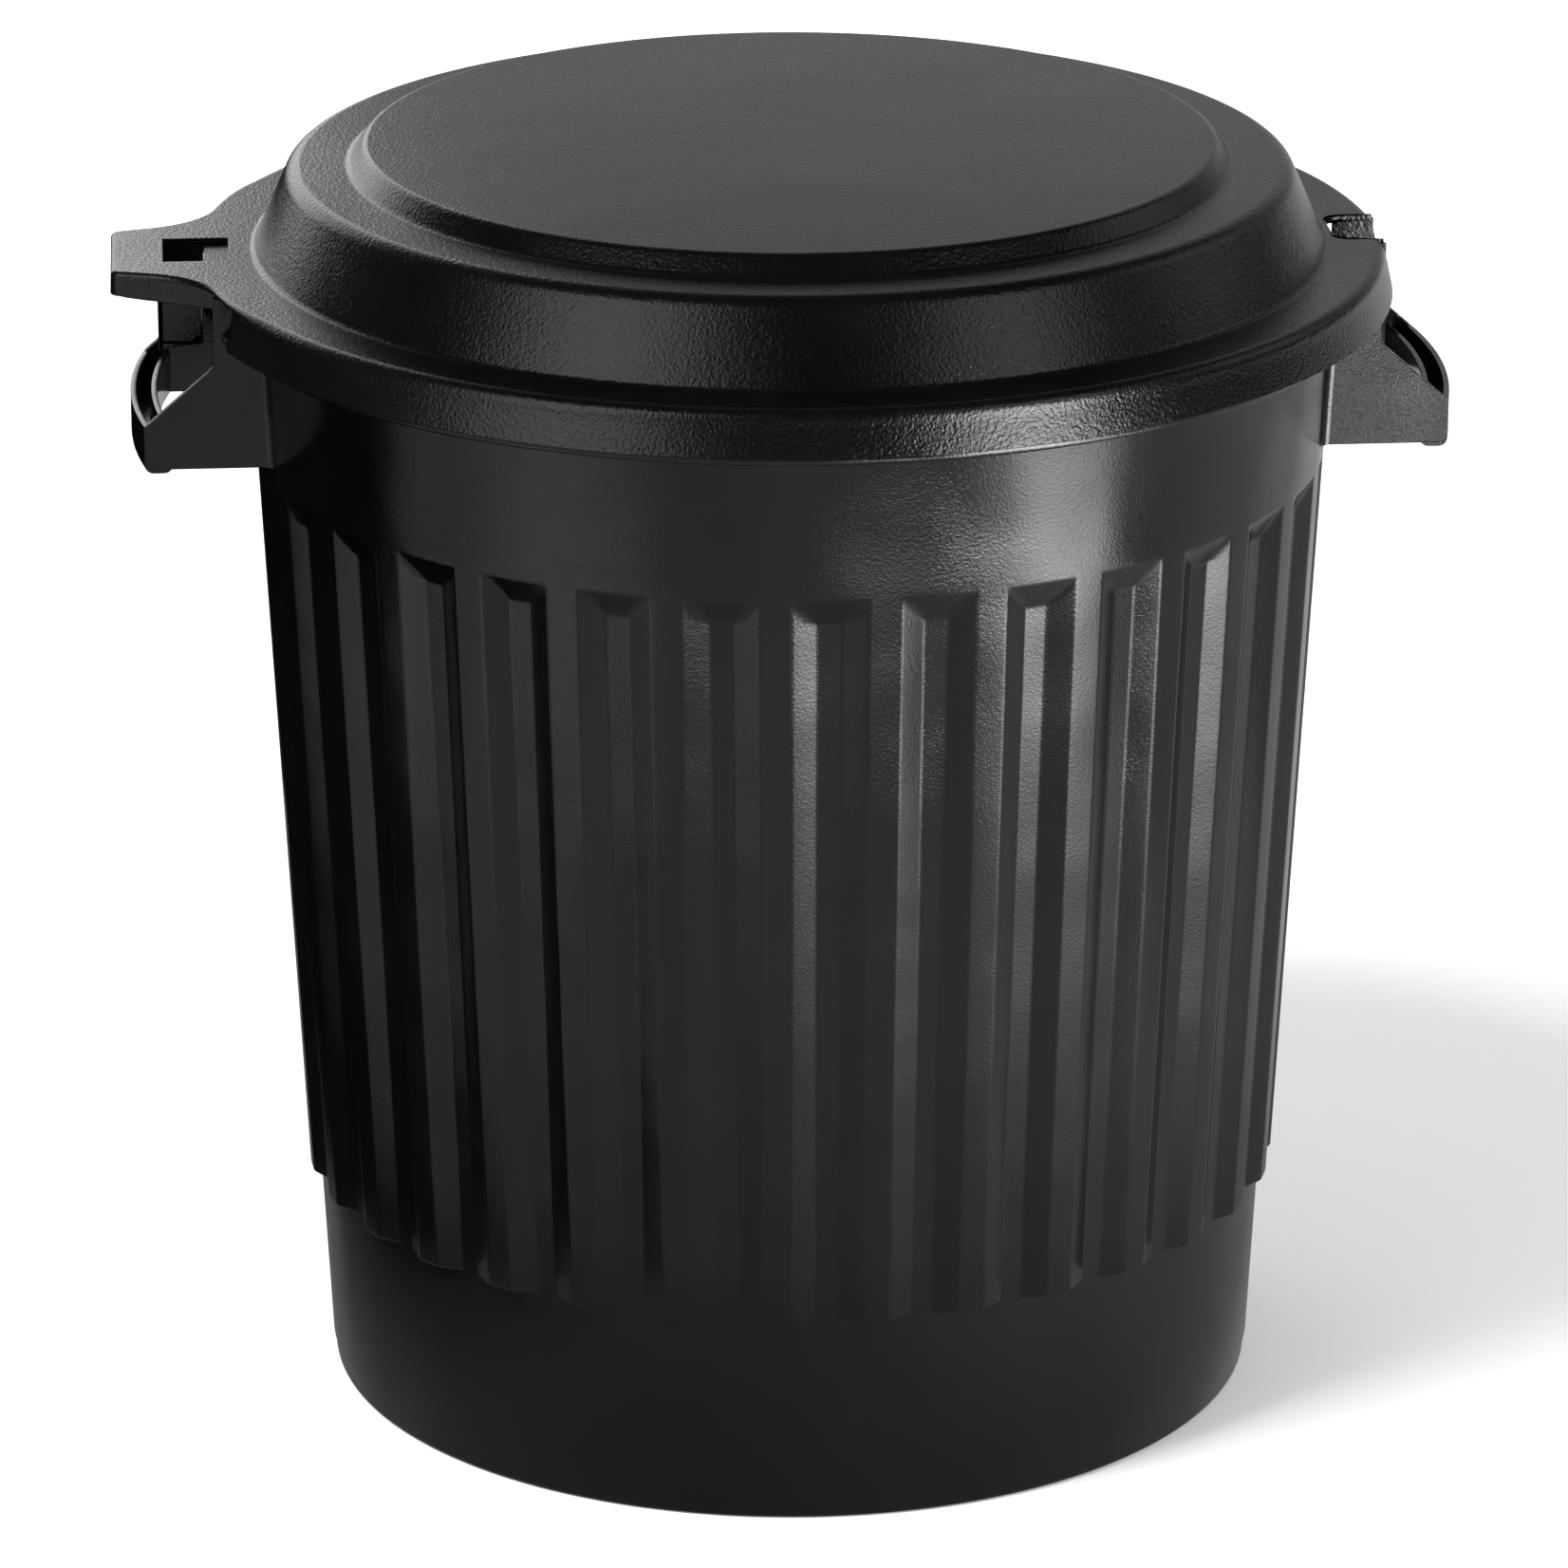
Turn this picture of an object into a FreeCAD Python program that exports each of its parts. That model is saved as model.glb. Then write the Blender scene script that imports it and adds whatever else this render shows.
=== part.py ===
import FreeCAD, Part
import math
import os

# Round refuse can with a lift-off lid.
# Millimetres, +Z up. The origin is on the can's axis, in the plane of its foot.
# The two handles lie on the X axis, and the lid's lifting tab is over the left one.

V = FreeCAD.Vector

# Can wall
BASE_RADIUS = 203.4        # outside of the smooth lower band, taken down to the floor
DRAFT_DEG = 2.95           # every upright wall of the can leans out by this angle
WALL = 2.5
RIM_TOP_Z = 505.0
ROUND_FLAT = 8.0           # longest flat of a rounded edge on a turned face

# Foot and floor of the can
FOOT_HEIGHT = 10.0
FOOT_STEP = 0.8            # the foot is this much smaller than the band above it
FOOT_WIDTH = 5.0
FOOT_EDGE_RADIUS = 2.5
FLOOR_RAISE = 6.0          # underside of the floor above the foot
FLOOR_THICKNESS = 3.0

# Flutes between the ribs
FLUTE_COUNT = 32
FLUTE_DEPTH = 5.1
RIB_BOTTOM_Z = 94.0
UPPER_BAND = 85.5          # top of the flutes below the rim's top
FLUTE_FLOOR_HALF_TOP = 5.2
FLUTE_FLOOR_HALF_BOTTOM = 4.5
FLUTE_SIDE_RUN = 10.6      # plan width of each sloped side
FLUTE_HIP_RUN = 11.2       # height of the sloped upper end

# Rim flange of the can
FLANGE_REACH = 17.6        # outside the can's wall
FLANGE_DROP = 21.5         # underside of the flange below the rim's top
FLANGE_THICKNESS = 3.9

# Handles
HANDLE_HALF_WIDTH = 58.5   # centre of the can to the outer face of a gusset, along Y
GUSSET_THICKNESS = 3.2
GUSSET_RAISE = 2.0         # lower edge of a gusset above the grip's underside
GUSSET_NECK_INSET = 3.5    # neck of a gusset inside the flange's edge
GUSSET_NECK_DROP = 10.3    # foot of the neck below the flange
GUSSET_NECK_ROUND = 8.0
GUSSET_FLARE = 2.2         # sloped root of a gusset on the can's wall
FINGER_GAP = 41.3          # can's wall to the grip
GRIP_WIDTH = 11.5
GRIP_DROP = 78.8           # underside of the grip below the rim's top
GRIP_HEIGHT = 21.0
GRIP_WALL = 2.6
GRIP_GROOVE_DEPTH = 15.0
GRIP_EDGE_RADIUS = 3.5
GRIP_CORNER_RADIUS = 4.0

# Catch block on the rim, under the lid's window
CATCH_HALF_WIDTH = 15.0
CATCH_DROP = 2.0           # top of the block, and of the gussets beside it, below the rim's top
CATCH_WALL = 2.5

# Lid
LID_WALL = 2.6
SEAT_GAP = 0.4             # lid flange over the can's rim
SKIRT_GAP = 1.0            # lid skirt over the can's flange
SKIRT_CLEARANCE = 4.4      # inside of the skirt outside the can's flange
SKIRT_LEAN = 3.5           # the skirt widens this much downwards
LEDGE_WIDTH = 25.5         # flat rim outside the dome
DOME_LEAN = 15.5           # the dome's side draws in this much
DOME_HEIGHT = 35.5
SHOULDER_WIDTH = 25.5      # flat ring round the top disc
SHOULDER_ROUND = 8.0
DISC_LEAN = 6.5            # the disc's side draws in this much
DISC_HEIGHT = 9.0
DISC_ROUND = 4.0
LID_RIM_ROUND = 5.0

# Lifting tab of the lid
TAB_LENGTH = 32.0          # outside the lid's skirt
TAB_ROOT = 6.0             # straight sides of the tab inside the skirt
TAB_HALF_OUTER = 32.0
TAB_HALF_INNER = 43.0
TAB_BLEND_RADIUS = 40.0
TAB_CORNER_RADIUS = 5.0
TAB_EDGE_CHAMFER = 1.2
TAB_DEPTH_OUTER = 10.5
TAB_DEPTH_INNER = 13.5
SKIRT_GAP_HALF_DEG = 20.0  # the skirt is left out this far each side of the tab

# Window and hook of the lifting tab
WINDOW_HALF_WIDTH = 18.0
WINDOW_MARGIN = 11.0       # window outside the dome
HOOK_REACH = 19.6          # outside of the hook outside the can's flange
HOOK_WALL = 2.6
HOOK_WEB_DEPTH = 14.5
HOOK_DROP = 13.5           # underside of the hook below the can's flange
HOOK_FOOT_THICKNESS = 4.2
HOOK_LIP = 2.0
HOOK_CLEARANCE = 0.5       # hook tip outside the can's flange

# Notch in the lid's rim, opposite the tab
NOTCH_HALF_WIDTH = 19.0
NOTCH_MARGIN = 3.5         # notch outside the dome
NOTCH_CORNER_RADIUS = 7.0

SLOPE = math.tan(math.radians(DRAFT_DEG))
ORIGIN = V(0, 0, 0)
AXIS = V(0, 0, 1)
TINY = 1e-6


def low_radius(z):
    """Outside of the lower band and of the flute floors."""
    return BASE_RADIUS + z * SLOPE


def land_radius(z):
    """Outside of the ribs and of the smooth upper band."""
    return low_radius(z) + FLUTE_DEPTH


# Heights that follow from the sizes
FLUTE_TOP_Z = RIM_TOP_Z - UPPER_BAND
FLANGE_Z = RIM_TOP_Z - FLANGE_DROP
FLANGE_TOP_Z = FLANGE_Z + FLANGE_THICKNESS
GRIP_BOTTOM_Z = RIM_TOP_Z - GRIP_DROP
GUSSET_BOTTOM_Z = GRIP_BOTTOM_Z + GUSSET_RAISE
GUSSET_NECK_Z = FLANGE_Z - GUSSET_NECK_DROP
CATCH_TOP_Z = RIM_TOP_Z - CATCH_DROP
LID_UNDER_Z = RIM_TOP_Z + SEAT_GAP
LID_Z = LID_UNDER_Z + LID_WALL
SKIRT_BOTTOM_Z = FLANGE_TOP_Z + SKIRT_GAP
LID_TOP_Z = LID_Z + DOME_HEIGHT + DISC_HEIGHT
HOOK_BOTTOM_Z = FLANGE_Z - HOOK_DROP

# Radii that follow from the sizes
FLANGE_RADIUS = land_radius(FLANGE_Z) + FLANGE_REACH
GUSSET_NECK_RADIUS = FLANGE_RADIUS - GUSSET_NECK_INSET
GRIP_RADIUS = land_radius(GRIP_BOTTOM_Z) + FINGER_GAP + GRIP_WIDTH
SKIRT_RADIUS = FLANGE_RADIUS + SKIRT_CLEARANCE + LID_WALL
LID_RIM_RADIUS = SKIRT_RADIUS - SKIRT_LEAN
DOME_RADIUS = LID_RIM_RADIUS - LEDGE_WIDTH
SHOULDER_RADIUS = DOME_RADIUS - DOME_LEAN
DISC_RADIUS = SHOULDER_RADIUS - SHOULDER_WIDTH
DISC_TOP_RADIUS = DISC_RADIUS - DISC_LEAN
TAB_REACH = SKIRT_RADIUS + TAB_LENGTH
TAB_INNER = SKIRT_RADIUS - TAB_ROOT
HOOK_OUTER = FLANGE_RADIUS + HOOK_REACH
WINDOW_INNER = DOME_RADIUS + WINDOW_MARGIN
NOTCH_INNER = DOME_RADIUS + NOTCH_MARGIN


def unit(dx, dz):
    length = math.hypot(dx, dz)
    return dx / length, dz / length


def path_edges(points):
    """Edges in the XZ plane through (radius, height, rounding) points."""
    edges = []
    start = V(points[0][0], 0, points[0][1])
    for before, here, after in zip(points, points[1:], points[2:]):
        corner = V(here[0], 0, here[1])
        if here[2] > 0:
            ux, uz = unit(before[0] - here[0], before[1] - here[1])
            vx, vz = unit(after[0] - here[0], after[1] - here[1])
            half = math.acos(ux * vx + uz * vz) / 2
            reach = here[2] / math.tan(half)
            mx, mz = unit(ux + vx, uz + vz)
            middle = here[2] / math.sin(half) - here[2]
            first = corner + V(ux, 0, uz) * reach
            last = corner + V(vx, 0, vz) * reach
            edges.append(Part.LineSegment(start, first).toShape())
            edges.append(Part.Arc(first, corner + V(mx, 0, mz) * middle, last).toShape())
            start = last
        else:
            edges.append(Part.LineSegment(start, corner).toShape())
            start = corner
    edges.append(Part.LineSegment(start, V(points[-1][0], 0, points[-1][1])).toShape())
    return edges


def flattened(points):
    """The same path with each rounding made of short flats, for a turned face."""
    flat = [points[0]]
    for before, here, after in zip(points, points[1:], points[2:]):
        if here[2] == 0:
            flat.append(here)
            continue
        ux, uz = unit(before[0] - here[0], before[1] - here[1])
        vx, vz = unit(after[0] - here[0], after[1] - here[1])
        half = math.acos(ux * vx + uz * vz) / 2
        mx, mz = unit(ux + vx, uz + vz)
        px, pz = unit(ux - vx, uz - vz)
        reach = here[2] / math.sin(half)
        turn = math.pi - 2 * half
        count = math.ceil(here[2] * turn / ROUND_FLAT)
        for i in range(count + 1):
            angle = turn * (0.5 - i / count)
            along = reach - here[2] * math.cos(angle)
            across = here[2] * math.sin(angle)
            flat.append((here[0] + mx * along + px * across, here[1] + mz * along + pz * across, 0))
    return flat + [points[-1]]


def parallel_path(points, distance):
    """The same path moved to the right of its direction, with sharp corners."""
    moved = []
    count = len(points)
    for i in range(count):
        x, z = points[i][:2]
        sides = []
        if i > 0:
            sides.append(unit(x - points[i - 1][0], z - points[i - 1][1]))
        if i < count - 1:
            sides.append(unit(points[i + 1][0] - x, points[i + 1][1] - z))
        normals = [(dz, -dx) for dx, dz in sides]
        (ax, az), (bx, bz) = normals[0], normals[-1]
        scale = distance / (1 + ax * bx + az * bz)
        moved.append((x + (ax + bx) * scale, z + (az + bz) * scale, 0))
    return moved


def revolved(edges):
    return Part.Face(Part.Wire(edges)).revolve(ORIGIN, AXIS, 360)


def closing_edge(last, first):
    return Part.LineSegment(V(last[0], 0, last[1]), V(first[0], 0, first[1])).toShape()


def turned(points):
    """Solid of revolution of a closed outline."""
    return revolved(path_edges(flattened(points)) + [closing_edge(points[-1], points[0])])


def block(low, high):
    return Part.makeBox(high[0] - low[0], high[1] - low[1], high[2] - low[2], V(*low))


def plan_solid(outline, low, high):
    """Upright prism on a closed plan outline of (x, y) corners."""
    corners = [V(x, y, low) for x, y in outline]
    face = Part.Face(Part.makePolygon(corners + corners[:1]))
    return face.extrude(V(0, 0, high - low))


def side_solid(outline, y_low, y_high):
    """Plate on a closed (x, z, rounding) outline, between two planes across Y."""
    face = Part.Face(Part.Wire(path_edges(outline) + [closing_edge(outline[-1], outline[0])]))
    face.translate(V(0, y_low, 0))
    return face.extrude(V(0, y_high - y_low, 0))


def upright_edges(shape, wanted):
    """Vertical straight edges whose midpoint passes the test."""
    found = []
    for edge in shape.Edges:
        if len(edge.Vertexes) == 2 and edge.Curve.TypeId == "Part::GeomLine":
            a, b = (vertex.Point for vertex in edge.Vertexes)
            if abs(a.x - b.x) < TINY and abs(a.y - b.y) < TINY and wanted((a + b) * 0.5):
                found.append(edge)
    return found


def flute_cutter(inset):
    """One flute as a hipped wedge, ending on the flute floor's own cone."""
    side_slope = FLUTE_SIDE_RUN / FLUTE_DEPTH
    hip_slope = FLUTE_HIP_RUN / FLUTE_DEPTH
    widen = inset * math.tan(math.atan(1 / side_slope) / 2)
    top = FLUTE_TOP_Z + inset * math.tan(math.atan(1 / hip_slope) / 2)
    bottom = RIB_BOTTOM_Z + inset
    taper = (FLUTE_FLOOR_HALF_TOP - FLUTE_FLOOR_HALF_BOTTOM) / (FLUTE_TOP_Z - RIB_BOTTOM_Z)
    under = -FLUTE_DEPTH * 1.2
    over = FLUTE_DEPTH * 0.5

    def corner(offset, z, side):
        floor_half = FLUTE_FLOOR_HALF_BOTTOM + widen + (z - RIB_BOTTOM_Z) * taper
        half = floor_half + (offset + FLUTE_DEPTH) * side_slope
        return V(land_radius(z) - inset + offset, side * half, z)

    def quad(*corners):
        return Part.Face(Part.makePolygon(list(corners) + [corners[0]]))

    top_under = top + under * hip_slope
    top_over = top + over * hip_slope
    a, b, c, d = (corner(w, bottom, s) for w, s in ((under, -1), (under, 1), (over, 1), (over, -1)))
    e, f = corner(under, top_under, -1), corner(under, top_under, 1)
    g, h = corner(over, top_over, 1), corner(over, top_over, -1)
    faces = [quad(a, b, c, d), quad(e, f, g, h), quad(a, b, f, e)]
    faces += [quad(b, c, g, f), quad(c, d, h, g), quad(d, a, e, h)]
    wedge = Part.Solid(Part.Shell(faces))
    reach = top_over + FLUTE_DEPTH
    core = turned([
        (0, bottom - FLUTE_DEPTH, 0),
        (low_radius(bottom - FLUTE_DEPTH) - inset, bottom - FLUTE_DEPTH, 0),
        (low_radius(reach) - inset, reach, 0),
        (0, reach, 0),
    ])
    core.rotate(ORIGIN, AXIS, 180)
    return wedge.cut(core)


def flutes(inset):
    first = flute_cutter(inset)
    cutters = []
    for i in range(FLUTE_COUNT):
        cutter = first.copy()
        cutter.rotate(ORIGIN, AXIS, i * 360.0 / FLUTE_COUNT)
        cutters.append(cutter)
    return cutters


def can_outside():
    foot_radius = low_radius(FOOT_HEIGHT) - FOOT_STEP
    return turned([
        (0, FLOOR_RAISE, 0),
        (foot_radius - FOOT_WIDTH, FLOOR_RAISE, 0),
        (foot_radius - FOOT_WIDTH, 0, 0),
        (foot_radius - FOOT_HEIGHT * SLOPE, 0, FOOT_EDGE_RADIUS),
        (foot_radius, FOOT_HEIGHT, 0),
        (low_radius(FOOT_HEIGHT), FOOT_HEIGHT, 0),
        (low_radius(RIB_BOTTOM_Z), RIB_BOTTOM_Z, 0),
        (land_radius(RIB_BOTTOM_Z), RIB_BOTTOM_Z, 0),
        (land_radius(FLANGE_Z), FLANGE_Z, 0),
        (FLANGE_RADIUS, FLANGE_Z, 0),
        (FLANGE_RADIUS, FLANGE_TOP_Z, 0),
        (land_radius(FLANGE_TOP_Z), FLANGE_TOP_Z, 0),
        (land_radius(RIM_TOP_Z), RIM_TOP_Z, 0),
        (0, RIM_TOP_Z, 0),
    ])


def can_inside():
    floor_z = FLOOR_RAISE + FLOOR_THICKNESS
    step_z = RIB_BOTTOM_Z + WALL
    mouth_z = RIM_TOP_Z + WALL
    return turned([
        (0, floor_z, 0),
        (low_radius(floor_z) - WALL, floor_z, 0),
        (low_radius(step_z) - WALL, step_z, 0),
        (land_radius(step_z) - WALL, step_z, 0),
        (land_radius(mouth_z) - WALL, mouth_z, 0),
        (0, mouth_z, 0),
    ])


def grip_hoop():
    """Carrying bar as a whole hoop round the can: a channel open at the top."""
    inner = GRIP_RADIUS - GRIP_WIDTH
    top = GRIP_BOTTOM_Z + GRIP_HEIGHT
    groove_z = top - GRIP_GROOVE_DEPTH
    outline = [
        (inner + GRIP_WALL, top, 0),
        (inner, top, 0),
        (inner, GRIP_BOTTOM_Z, GRIP_EDGE_RADIUS),
        (GRIP_RADIUS, GRIP_BOTTOM_Z, GRIP_EDGE_RADIUS),
        (GRIP_RADIUS, top, 0),
        (GRIP_RADIUS - GRIP_WALL, top, 0),
        (GRIP_RADIUS - GRIP_WALL, groove_z, 0),
        (inner + GRIP_WALL, groove_z, 0),
    ]
    return turned(outline)


def gusset(y_low, top):
    """Upright plate from the can's wall to one end of the grip."""
    root = land_radius(GUSSET_BOTTOM_Z) - HANDLE_HALF_WIDTH / 2
    tip = math.sqrt(GRIP_RADIUS ** 2 - HANDLE_HALF_WIDTH ** 2)
    outline = [
        (root, GUSSET_BOTTOM_Z, 0),
        (tip, GUSSET_BOTTOM_Z, GRIP_EDGE_RADIUS),
        (tip, GRIP_BOTTOM_Z + GRIP_HEIGHT, 0),
        (GUSSET_NECK_RADIUS, GUSSET_NECK_Z, GUSSET_NECK_ROUND),
        (GUSSET_NECK_RADIUS, top, 0),
        (root, top, 0),
    ]
    return side_solid(outline, y_low, y_low + GUSSET_THICKNESS)


def flare(y_face, side):
    """Sloped root along the can's wall, on one face of a gusset."""
    top = FLANGE_Z + FLANGE_THICKNESS / 2
    wall_x = math.sqrt(land_radius(GUSSET_BOTTOM_Z) ** 2 - y_face ** 2)
    top_x = math.sqrt(land_radius(top) ** 2 - y_face ** 2)
    y_far = y_face + side * GUSSET_FLARE
    far_x = math.sqrt(land_radius(GUSSET_BOTTOM_Z) ** 2 - y_far ** 2)
    near = V(wall_x + GUSSET_FLARE, y_face, GUSSET_BOTTOM_Z)
    far = V(far_x, y_far, GUSSET_BOTTOM_Z)
    along = (far - near).normalize()
    corners = [near, far + along * (WALL / 2), V(wall_x - WALL / 2, y_face, GUSSET_BOTTOM_Z)]
    face = Part.Face(Part.makePolygon(corners + corners[:1]))
    return face.extrude(V(top_x - wall_x, 0, top - GUSSET_BOTTOM_Z))


def flares():
    """The roots on both faces of both gussets of one handle."""
    inner = HANDLE_HALF_WIDTH - GUSSET_THICKNESS
    places = ((inner, -1), (HANDLE_HALF_WIDTH, 1), (-inner, 1), (-HANDLE_HALF_WIDTH, -1))
    return [flare(y_face, side) for y_face, side in places]


def handle(top):
    """Bowed grip between two gussets, which reach up to the given height."""
    near = gusset(-HANDLE_HALF_WIDTH, top)
    far = gusset(HANDLE_HALF_WIDTH - GUSSET_THICKNESS, top)
    span = block((0, -HANDLE_HALF_WIDTH, 0), (GRIP_RADIUS, HANDLE_HALF_WIDTH, RIM_TOP_Z))
    plan = Part.makeCylinder(GRIP_RADIUS, RIM_TOP_Z).common(span)
    plan = plan.makeFillet(GRIP_CORNER_RADIUS, upright_edges(plan, lambda p: p.x > land_radius(0)))
    return [grip_hoop().fuse([near, far]).common(plan)] + flares()


def catch_block():
    """Hollow block on the rim flange that fills the inner part of the lid's window."""
    root = land_radius(FLANGE_Z) - WALL / 2
    solid = block((-FLANGE_RADIUS, -CATCH_HALF_WIDTH, FLANGE_Z), (-root, CATCH_HALF_WIDTH, CATCH_TOP_Z))
    hollow = block(
        (-FLANGE_RADIUS + CATCH_WALL, -CATCH_HALF_WIDTH + CATCH_WALL, FLANGE_Z),
        (-land_radius(CATCH_TOP_Z), CATCH_HALF_WIDTH - CATCH_WALL, CATCH_TOP_Z - CATCH_WALL),
    )
    return solid, hollow


def can():
    right = handle(FLANGE_Z + FLANGE_THICKNESS / 2)
    left = handle(CATCH_TOP_Z)
    for piece in left:
        piece.rotate(ORIGIN, AXIS, 180)
    catch, catch_hollow = catch_block()
    outside = can_outside().fuse(right + left + [catch])
    outside = outside.cut(flutes(0) + [catch_hollow])
    inside = can_inside().cut(flutes(WALL))
    return outside.cut(inside)


def lid_shell():
    outer = [
        (0, LID_TOP_Z, 0),
        (DISC_TOP_RADIUS, LID_TOP_Z, DISC_ROUND),
        (DISC_RADIUS, LID_Z + DOME_HEIGHT, 0),
        (SHOULDER_RADIUS, LID_Z + DOME_HEIGHT, SHOULDER_ROUND),
        (DOME_RADIUS, LID_Z, 0),
        (LID_RIM_RADIUS, LID_Z, LID_RIM_ROUND),
        (SKIRT_RADIUS, SKIRT_BOTTOM_Z, 0),
    ]
    inner = parallel_path(outer, LID_WALL)[::-1]
    edges = path_edges(flattened(outer))
    edges.append(closing_edge(outer[-1], inner[0]))
    edges += path_edges(inner)
    edges.append(closing_edge(inner[-1], outer[0]))
    return revolved(edges)


def skirt_gap():
    """Sector that takes the skirt away beside the lifting tab."""
    reach = TAB_REACH
    angle = math.radians(180 - SKIRT_GAP_HALF_DEG)
    x, y = reach * math.cos(angle), reach * math.sin(angle)
    sector = plan_solid([(0, 0), (x, y), (2 * x, 0), (x, -y)], SKIRT_BOTTOM_Z - LID_WALL, LID_UNDER_Z)
    return sector.cut(Part.makeCylinder(WINDOW_INNER, LID_TOP_Z))


def tab_outline(inset):
    slant = (TAB_HALF_INNER - TAB_HALF_OUTER) / (TAB_REACH - TAB_INNER)
    grow = inset * math.sqrt(1 + slant * slant)
    outer_x = -TAB_REACH + inset
    inner_x = -DOME_RADIUS

    def half(x):
        return TAB_HALF_OUTER + (TAB_REACH + x) * slant - grow

    return [
        (outer_x, half(outer_x)),
        (inner_x, half(inner_x)),
        (inner_x, -half(inner_x)),
        (outer_x, -half(outer_x)),
    ]


def tab_plate():
    """Flat top of the tab, blended into the round rim of the lid."""
    disc = Part.makeCylinder(LID_RIM_RADIUS - LID_RIM_ROUND / 2, LID_WALL, V(0, 0, LID_UNDER_Z))
    plate = disc.fuse(plan_solid(tab_outline(0), LID_UNDER_Z, LID_Z)).removeSplitter()
    blends = upright_edges(
        plate,
        lambda p: -TAB_INNER < p.x < -DOME_RADIUS and abs(p.y) > TAB_HALF_OUTER,
    )
    plate = plate.makeFillet(TAB_BLEND_RADIUS, blends)
    corners = upright_edges(plate, lambda p: p.x < -TAB_REACH + TAB_CORNER_RADIUS)
    plate = plate.makeFillet(TAB_CORNER_RADIUS, corners)
    top_edges = [edge for edge in plate.Edges if all(p.Z > LID_Z - TINY for p in edge.Vertexes)]
    plate = plate.makeChamfer(TAB_EDGE_CHAMFER, top_edges)
    kept = block((-TAB_REACH - LID_WALL, -DOME_RADIUS, LID_UNDER_Z), (-DOME_RADIUS / 2, DOME_RADIUS, LID_Z))
    return plate.common(kept).cut(Part.makeCylinder(DOME_RADIUS, LID_TOP_Z))


def tab_walls():
    """Skirt walls round the tab's two sides and outer end."""
    low = LID_Z - TAB_DEPTH_INNER
    outer = plan_solid(tab_outline(0), low, LID_UNDER_Z)
    corners = upright_edges(outer, lambda p: p.x < -TAB_REACH + TAB_CORNER_RADIUS)
    outer = outer.makeFillet(TAB_CORNER_RADIUS, corners)
    inner = plan_solid(tab_outline(LID_WALL), low, LID_Z)
    corners = upright_edges(inner, lambda p: p.x < -TAB_REACH + TAB_CORNER_RADIUS)
    inner = inner.makeFillet(TAB_CORNER_RADIUS - LID_WALL, corners)
    walls = outer.cut(inner)
    kept = side_solid(
        [
            (-TAB_REACH - LID_WALL, LID_Z, 0),
            (-TAB_REACH - LID_WALL, LID_Z - TAB_DEPTH_OUTER, 0),
            (-TAB_INNER, low, 0),
            (-TAB_INNER, LID_Z, 0),
        ],
        -DOME_RADIUS,
        DOME_RADIUS,
    )
    return walls.common(kept)


def hook():
    """Snap hook under the tab: two C-shaped webs, a back wall and an inturned foot."""
    half = WINDOW_HALF_WIDTH + HOOK_WALL
    top = LID_UNDER_Z + LID_WALL / 2
    tip = FLANGE_RADIUS + HOOK_CLEARANCE
    foot_z = HOOK_BOTTOM_Z + HOOK_FOOT_THICKNESS
    back = block((-HOOK_OUTER, -half, HOOK_BOTTOM_Z), (-HOOK_OUTER + HOOK_WALL, half, top))
    foot = side_solid(
        [
            (-HOOK_OUTER, HOOK_BOTTOM_Z, 0),
            (-tip, HOOK_BOTTOM_Z + HOOK_LIP, 0),
            (-tip, foot_z + HOOK_LIP, 0),
            (-tip - HOOK_WALL, foot_z + HOOK_LIP, 0),
            (-tip - 2 * HOOK_WALL, foot_z, 0),
            (-HOOK_OUTER, foot_z, 0),
        ],
        -half,
        half,
    )
    pieces = [foot]
    for y_low in (-half, WINDOW_HALF_WIDTH):
        pieces.append(
            block(
                (-HOOK_OUTER, y_low, HOOK_BOTTOM_Z + HOOK_LIP),
                (-HOOK_OUTER + HOOK_WEB_DEPTH, y_low + HOOK_WALL, top),
            )
        )
    return back.fuse(pieces)


def window():
    return block(
        (-HOOK_OUTER + HOOK_WALL, -WINDOW_HALF_WIDTH, LID_UNDER_Z - TAB_DEPTH_INNER),
        (-WINDOW_INNER, WINDOW_HALF_WIDTH, LID_Z + LID_WALL),
    )


def notch():
    cutter = block(
        (NOTCH_INNER, -NOTCH_HALF_WIDTH, SKIRT_BOTTOM_Z - LID_WALL),
        (SKIRT_RADIUS + LID_WALL, NOTCH_HALF_WIDTH, LID_Z + LID_WALL),
    )
    corners = upright_edges(cutter, lambda p: p.x < NOTCH_INNER + NOTCH_CORNER_RADIUS)
    return cutter.makeFillet(NOTCH_CORNER_RADIUS, corners)


def lid():
    shell = lid_shell().cut([skirt_gap(), notch()])
    tab = tab_plate().fuse([tab_walls(), hook()])
    return shell.fuse(tab).cut(window())


os.makedirs("parts", exist_ok=True)
for name, shape in (("can", can()), ("lid", lid())):
    solid = shape.Solids[0]
    print(name, len(shape.Solids), solid.isValid(), round(solid.Volume), solid.BoundBox)
    solid.exportStep("parts/" + name + ".step")
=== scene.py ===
import math

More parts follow.
